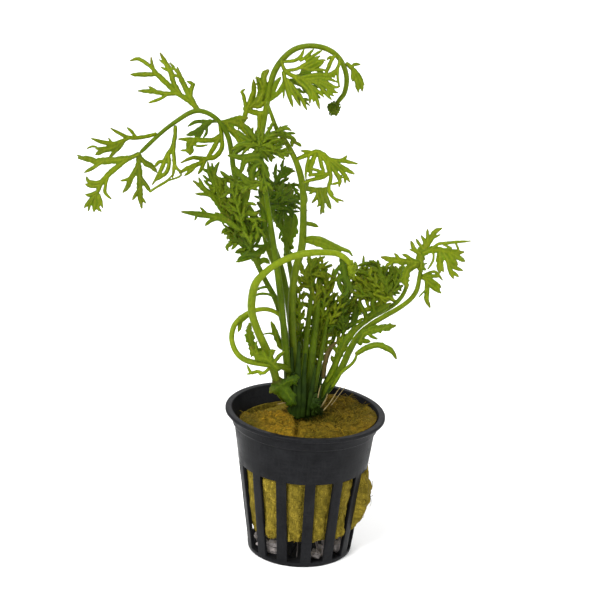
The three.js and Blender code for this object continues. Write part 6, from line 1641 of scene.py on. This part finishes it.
woolLook = {
    "dampAndShaded": (0.036, 0.034, 0.003),
    "side": (0.4, 0.295, 0.036),
    "top": (0.37, 0.2, 0.011),
    "fluffy": (0.23, 0.175, 0.014),
    "between": (0.045, 0.036, 0.003),
    "hollow": (0.022, 0.02, 0.002),
    "fluff": 0.45,
    "gaps": 0.4,
    "shadeInDips": 0.55,
}


def makeWoolFinish():
    # olive and straw-coloured mineral wool, with dark lines between its strands, damp blotches, painted
    # shade in the dips of its crumbs and lumps, and painted shadow around the crown
    material, tree, shader = newMaterial("mineralWool", 0.95, 0.06)
    shape = useGroup(tree, growth, Margin_Width=0.0)
    broad = useGroup(tree, mottle, Size=0.011, Detail=3.0, Contrast=2.6)
    fine = useGroup(tree, mottle, Size=0.0014, Detail=5.0, Contrast=3.0)
    strands = useGroup(tree, streaks, Width=0.0005, Stretch=(1.0, 1.0, 0.14))
    level = useGroup(tree, streaks, Width=0.0006, Stretch=(0.25, 1.0, 1.0))
    share = mathNode(tree, "MULTIPLY", shape.outputs["Rib"], 0.75)
    blotches = mathNode(tree, "MULTIPLY", broad.outputs["Mask"], 0.4)
    share = mathNode(tree, "ADD", share, blotches, clamp=True)
    light = mixNode(tree, shape.outputs["Along"], woolLook["side"], woolLook["top"])
    # dark where the light mark and the blotches are low: damp patches, with painted shade in the lumps'
    # dips and painted shadow around the crown
    colour = mixNode(tree, share, woolLook["dampAndShaded"], light)
    colour = tint(tree, colour, fine.outputs["Mask"], woolLook["fluff"], woolLook["fluffy"])
    lines = mathNode(tree, "MAXIMUM", strands.outputs["Mask"], level.outputs["Mask"])
    colour = tint(tree, colour, lines, woolLook["gaps"], woolLook["between"])
    # painted shade: darker where the crumb mark is low, in the dips of the wool's crumbs
    hollow = mathNode(tree, "SUBTRACT", 1.0, shape.outputs["Margin"])
    colour = tint(tree, colour, hollow, woolLook["shadeInDips"], woolLook["hollow"])
    tree.links.new(colour, shader.inputs["Base Color"])
    rough = mathNode(tree, "ADD", mathNode(tree, "MULTIPLY", fine.outputs["Mask"], 0.15), 0.8)
    tree.links.new(rough, shader.inputs["Roughness"])
    height = mathNode(tree, "ADD", lines, fine.outputs["Height"])
    bump(tree, shader, height, 0.8, 0.0005)
    return material


woolFinish = makeWoolFinish()
makeWool()
print("mineral wool made")

# Crown of the plant, with the dark roots and old stem bases around it (millimetres)
crown = {
    "centre": (0.4, 0.6, 49.4),
    "size": (4.8, 4.6, 1.9),
    "fibres": 420,
    "strands": [
        (0.22, [(6.5, 50, -8), (8.6, 53, -9), (10.4, 56.4, -9.4), (12, 59, -9.6)]),
        (0.14, [(9, 52, -8), (11.6, 56, -8.6), (13.5, 59, -8.8), (15, 62, -9)]),
        (0.3, [(2.4, 49.5, -4), (4.2, 52.6, -5), (4.6, 56, -5.4), (5.2, 59, -5.6)]),
        (0.42, [(3.2, 49, -3), (6, 52, -4), (7.2, 54.4, -4.4), (7.6, 56, -4.8)]),
        (0.3, [(-1.4, 49.6, -4), (-3.4, 51.5, -7), (-6.4, 52.2, -8.4), (-9, 51.6, -9.6)]),
    ],
    "knot": (3.4, 52.6, -4.6, 4.6, 7.0),
    "sheaths": [
        (1.2, [(-4.1, 47.4, -6.4), (-4.2, 54, -6.2), (-4.6, 61, -5.6), (-5.1, 72, -4.8)]),
        (1.3, [(-2.5, 47, -7), (-2.3, 54, -6.8), (-2.6, 62, -6.2), (-2.7, 74, -5.2)]),
        (1.1, [(-0.9, 47.4, -6.6), (-0.5, 54, -6.4), (-0.6, 61, -5.8), (-0.4, 70, -4.8)]),
        (0.8, [(-3.4, 47.2, -8), (-3.3, 52, -8), (-3.5, 57, -7.6), (-4, 63, -7)]),
        (0.9, [(1, 48, -5.4), (1.6, 53, -5.4), (2.4, 59, -5), (3.2, 66, -4.4)]),
        (0.8, [(2.8, 48.2, -4.4), (4, 52.4, -4.6), (5, 57, -4.4), (5.2, 62, -4)]),
        (0.7, [(4.2, 48.6, -3), (6, 53, -3.4), (7.8, 57, -3.6), (9.6, 62, -3.6)]),
        (1.1, [(-2, 48.6, 2), (-3, 56, 3), (-4, 66, 4)]),
        (1.1, [(2.6, 48.6, 3), (4, 55, 4), (5, 64, 5)]),
    ],
    "hangingRoots": 26,
    "clumps": 16,
    "clumpsBetween": (-1.9, 0.75),
    "rootsBetween": (0.1, 1.5),
}


def makeCrown():
    rng = np.random.default_rng(31)
    centre, size = np.array(crown["centre"]), np.array(crown["size"])
    points, faces = ballShape(5)
    ridges = 0.08 * waves(points, 0.9, 4) + 0.05 * waves(points, 0.35, 6)
    sheaf = Sheaf()
    sheaf.add(centre + points * size * (0.97 + ridges)[:, None], faces, (0.4, 0.4, 0.4))
    for _ in range(crown["fibres"]):
        out = rng.normal(size=3)
        out[2] = abs(out[2]) * 0.5
        out /= np.linalg.norm(out)
        start = centre + out * size * 0.95
        drift = rng.normal(size=3) * 0.7
        reach = rng.uniform(1.0, 3.4)
        steps = np.linspace(0, 1, 5)[:, None]
        line = start + (out * (0.6, 0.6, 0.4) * reach + drift) * steps
        line[:, 2] -= 0.5 * reach * steps[:, 0] ** 2
        shade = (rng.uniform(0, 1), rng.uniform(0, 1))
        addTube(sheaf, line, np.linspace(0.14, 0.05, 5), sides=5, marks=shade)
    addBud(sheaf, crown["knot"])
    for radius, path in crown["sheaths"]:
        line = smoothPath(place(*np.transpose(path)), 0.6)
        taper = np.interp(np.linspace(0, 1, len(line)), [0, 0.5, 1], [1.1, 0.9, 0.35])
        addTube(sheaf, line, radius * taper, sides=16, ribs=6, ribDepth=0.08, marks=(0.25, 0.5))
    sheaf.build("crown_roots", crownFinish, "crown", "crown")
    strands = Sheaf()
    for radius, path in crown["strands"]:
        line = smoothPath(place(*np.transpose(path)), 0.6)
        addTube(strands, line, np.linspace(radius, radius * 0.4, len(line)), sides=8, marks=(1, 1))
    strands.build("dry_strands", strandFinish, "crown")


def makeRoots():
    # under the wool: pale spongy clumps, mostly on the left, and thin roots that hang from it
    rng = np.random.default_rng(41)
    sheaf = Sheaf()
    for k in range(crown["clumps"]):
        size = rng.uniform(1.5, 2.4, 3)
        if k % 4 == 3:
            # this one lies on the clump before it, the others on the base of the pot
            angle += rng.uniform(-0.08, 0.08)
            height += 1.5 * size[2]
        else:
            angle = rng.uniform(*(crown["clumpsBetween"] if k % 4 else (0, 2 * math.pi)))
            height = pot["baseOver"] - 0.1 + 0.85 * size[2]
        centre = aroundAxis(rng.uniform(12.4, 14), angle, height)
        points, faces = ballShape(4)
        lumps = 0.9 + 0.14 * waves(points, 1.1, 50 + k) + 0.05 * waves(points, 0.35, 80 + k)
        sheaf.add(leanPot(centre + points * size * lumps[:, None]), faces, (0.9, 0.5, 0.5))
    for _ in range(crown["hangingRoots"]):
        angle = rng.uniform(*(crown["rootsBetween"] if rng.uniform() < 0.7 else (0, 2 * math.pi)))
        heading = angle + np.linspace(0, rng.uniform(-0.12, 0.12), 5)
        reach = np.linspace(rng.uniform(12, 14.6), rng.uniform(13, 15.2), 5)
        height = np.linspace(11, rng.uniform(1.8, 4.5), 5)
        line = smoothPath(leanPot(aroundAxis(reach, heading, height)), 0.9)
        thick = rng.uniform(0.12, 0.3)
        radii = np.linspace(thick, thick * 0.5, len(line))
        addTube(sheaf, line, radii, sides=6, marks=(rng.uniform(0, 0.3), 0.5))
    sheaf.build("lower_roots", rootFinish, "crown")


def makeRootFinish(name, dark, light, roughness):
    material, tree, shader = newMaterial(name, roughness, 0.08)
    shape = useGroup(tree, growth, Margin_Width=0.0)
    spots = useGroup(tree, mottle, Size=0.0022, Detail=4.0, Contrast=2.6)
    share = mathNode(tree, "MULTIPLY", shape.outputs["Margin"], 0.6)
    blotches = mathNode(tree, "MULTIPLY", spots.outputs["Mask"], 0.5)
    share = mathNode(tree, "ADD", share, blotches, clamp=True)
    tree.links.new(mixNode(tree, share, dark, light), shader.inputs["Base Color"])
    uneven = mathNode(tree, "MULTIPLY", spots.outputs["Mask"], 0.2)
    rough = mathNode(tree, "ADD", uneven, roughness - 0.1)
    tree.links.new(rough, shader.inputs["Roughness"])
    bump(tree, shader, spots.outputs["Height"], 0.5, 0.0003)
    return material


# The crown's near-black greens: its own dark colour, made darker as painted shade for the pocket where
# the stems go into the wool
crownFinish = makeRootFinish("crownFinish", (0.003, 0.01, 0.0006), (0.026, 0.05, 0.003), 0.6)
rootFinish = makeRootFinish("rootFinish", (0.06, 0.045, 0.03), (0.36, 0.33, 0.32), 0.8)
strandFinish = makeRootFinish("strandFinish", (0.05, 0.035, 0.012), (0.26, 0.2, 0.09), 0.7)
makeCrown()
makeRoots()
print("crown and roots made")

# Floor, lights and camera
studio = {
    "floorSize": 14.0,
    "floorTones": ((0.9, 0.9, 0.9), (0.95, 0.95, 0.95)),
    "world": 0.24,
    "aim": (0, 0, 0.08),
    "lamps": {
        "key": {"at": (-0.5, -0.75, 1.1), "size": 0.5, "power": 21.5},
        "fill": {"at": (0.9, -0.5, 0.7), "size": 0.9, "power": 4.6},
        "back": {"at": (0.1, 0.8, 1.2), "size": 0.9, "power": 10.0},
    },
    "floorLamp": {"reach": 2.1, "height": 0.8, "size": 2.4, "power": 26.0},
}


def makeStage():
    reach = studio["floorSize"] / 2
    corners = [(-reach, -reach, 0), (reach, -reach, 0), (reach, reach, 0), (-reach, reach, 0)]
    mesh = bpy.data.meshes.new("floor")
    mesh.from_pydata(corners, [], [(0, 1, 2, 3)])
    material, tree, shader = newMaterial("paleFloor", 0.7, 0.2)
    dapple = useGroup(tree, mottle, Size=0.4, Detail=2.0, Contrast=0.4)
    colour = mixNode(tree, dapple.outputs["Mask"], *studio["floorTones"])
    tree.links.new(colour, shader.inputs["Base Color"])
    mesh.materials.append(material)
    floor = bpy.data.objects.new("floor", mesh)
    bpy.context.scene.collection.objects.link(floor)


def aimAt(thing, target):
    thing.rotation_euler = (Vector(target) - thing.location).to_track_quat("-Z", "Y").to_euler()


def addLamp(name, at, target, values):
    lamp = bpy.data.lights.new(name, "AREA")
    lamp.size = values["size"]
    lamp.energy = values["power"]
    light = bpy.data.objects.new(name, lamp)
    light.location = at
    bpy.context.scene.collection.objects.link(light)
    aimAt(light, target)


def makeLights():
    world = bpy.data.worlds.new("studio")
    world.use_nodes = True
    background = world.node_tree.nodes["Background"]
    background.inputs["Color"].default_value = (1, 1, 1, 1)
    background.inputs["Strength"].default_value = studio["world"]
    bpy.context.scene.world = world
    for name, values in studio["lamps"].items():
        addLamp(name, values["at"], studio["aim"], values)
    low = studio["floorLamp"]
    for name, x, y in (("behind", 0, 1), ("right", 1, 0), ("before", 0, -1), ("left", -1, 0)):
        at = (x * low["reach"], y * low["reach"], low["height"])
        addLamp(name + "FloorLamp", at, (at[0], at[1], 0), low)


def makeCamera():
    lens = bpy.data.cameras.new("view")
    lens.lens = drawing["lens"]
    lens.sensor_width = drawing["sensor"]
    lens.clip_start = 0.01
    view = bpy.data.objects.new("view", lens)
    bpy.context.scene.collection.objects.link(view)
    eye = Vector(drawing["eye"]) * millimetre
    target = Vector(drawing["target"]) * millimetre
    turn = (target - eye).to_track_quat("-Z", "Y").to_matrix().to_4x4()
    roll = Matrix.Rotation(math.radians(drawing["roll"]), 4, "Z")
    view.matrix_world = Matrix.Translation(eye) @ turn @ roll
    bpy.context.scene.camera = view


makeStage()
makeLights()
makeCamera()
bpy.context.scene.view_settings.view_transform = "Standard"
print("floor, lights and camera made")
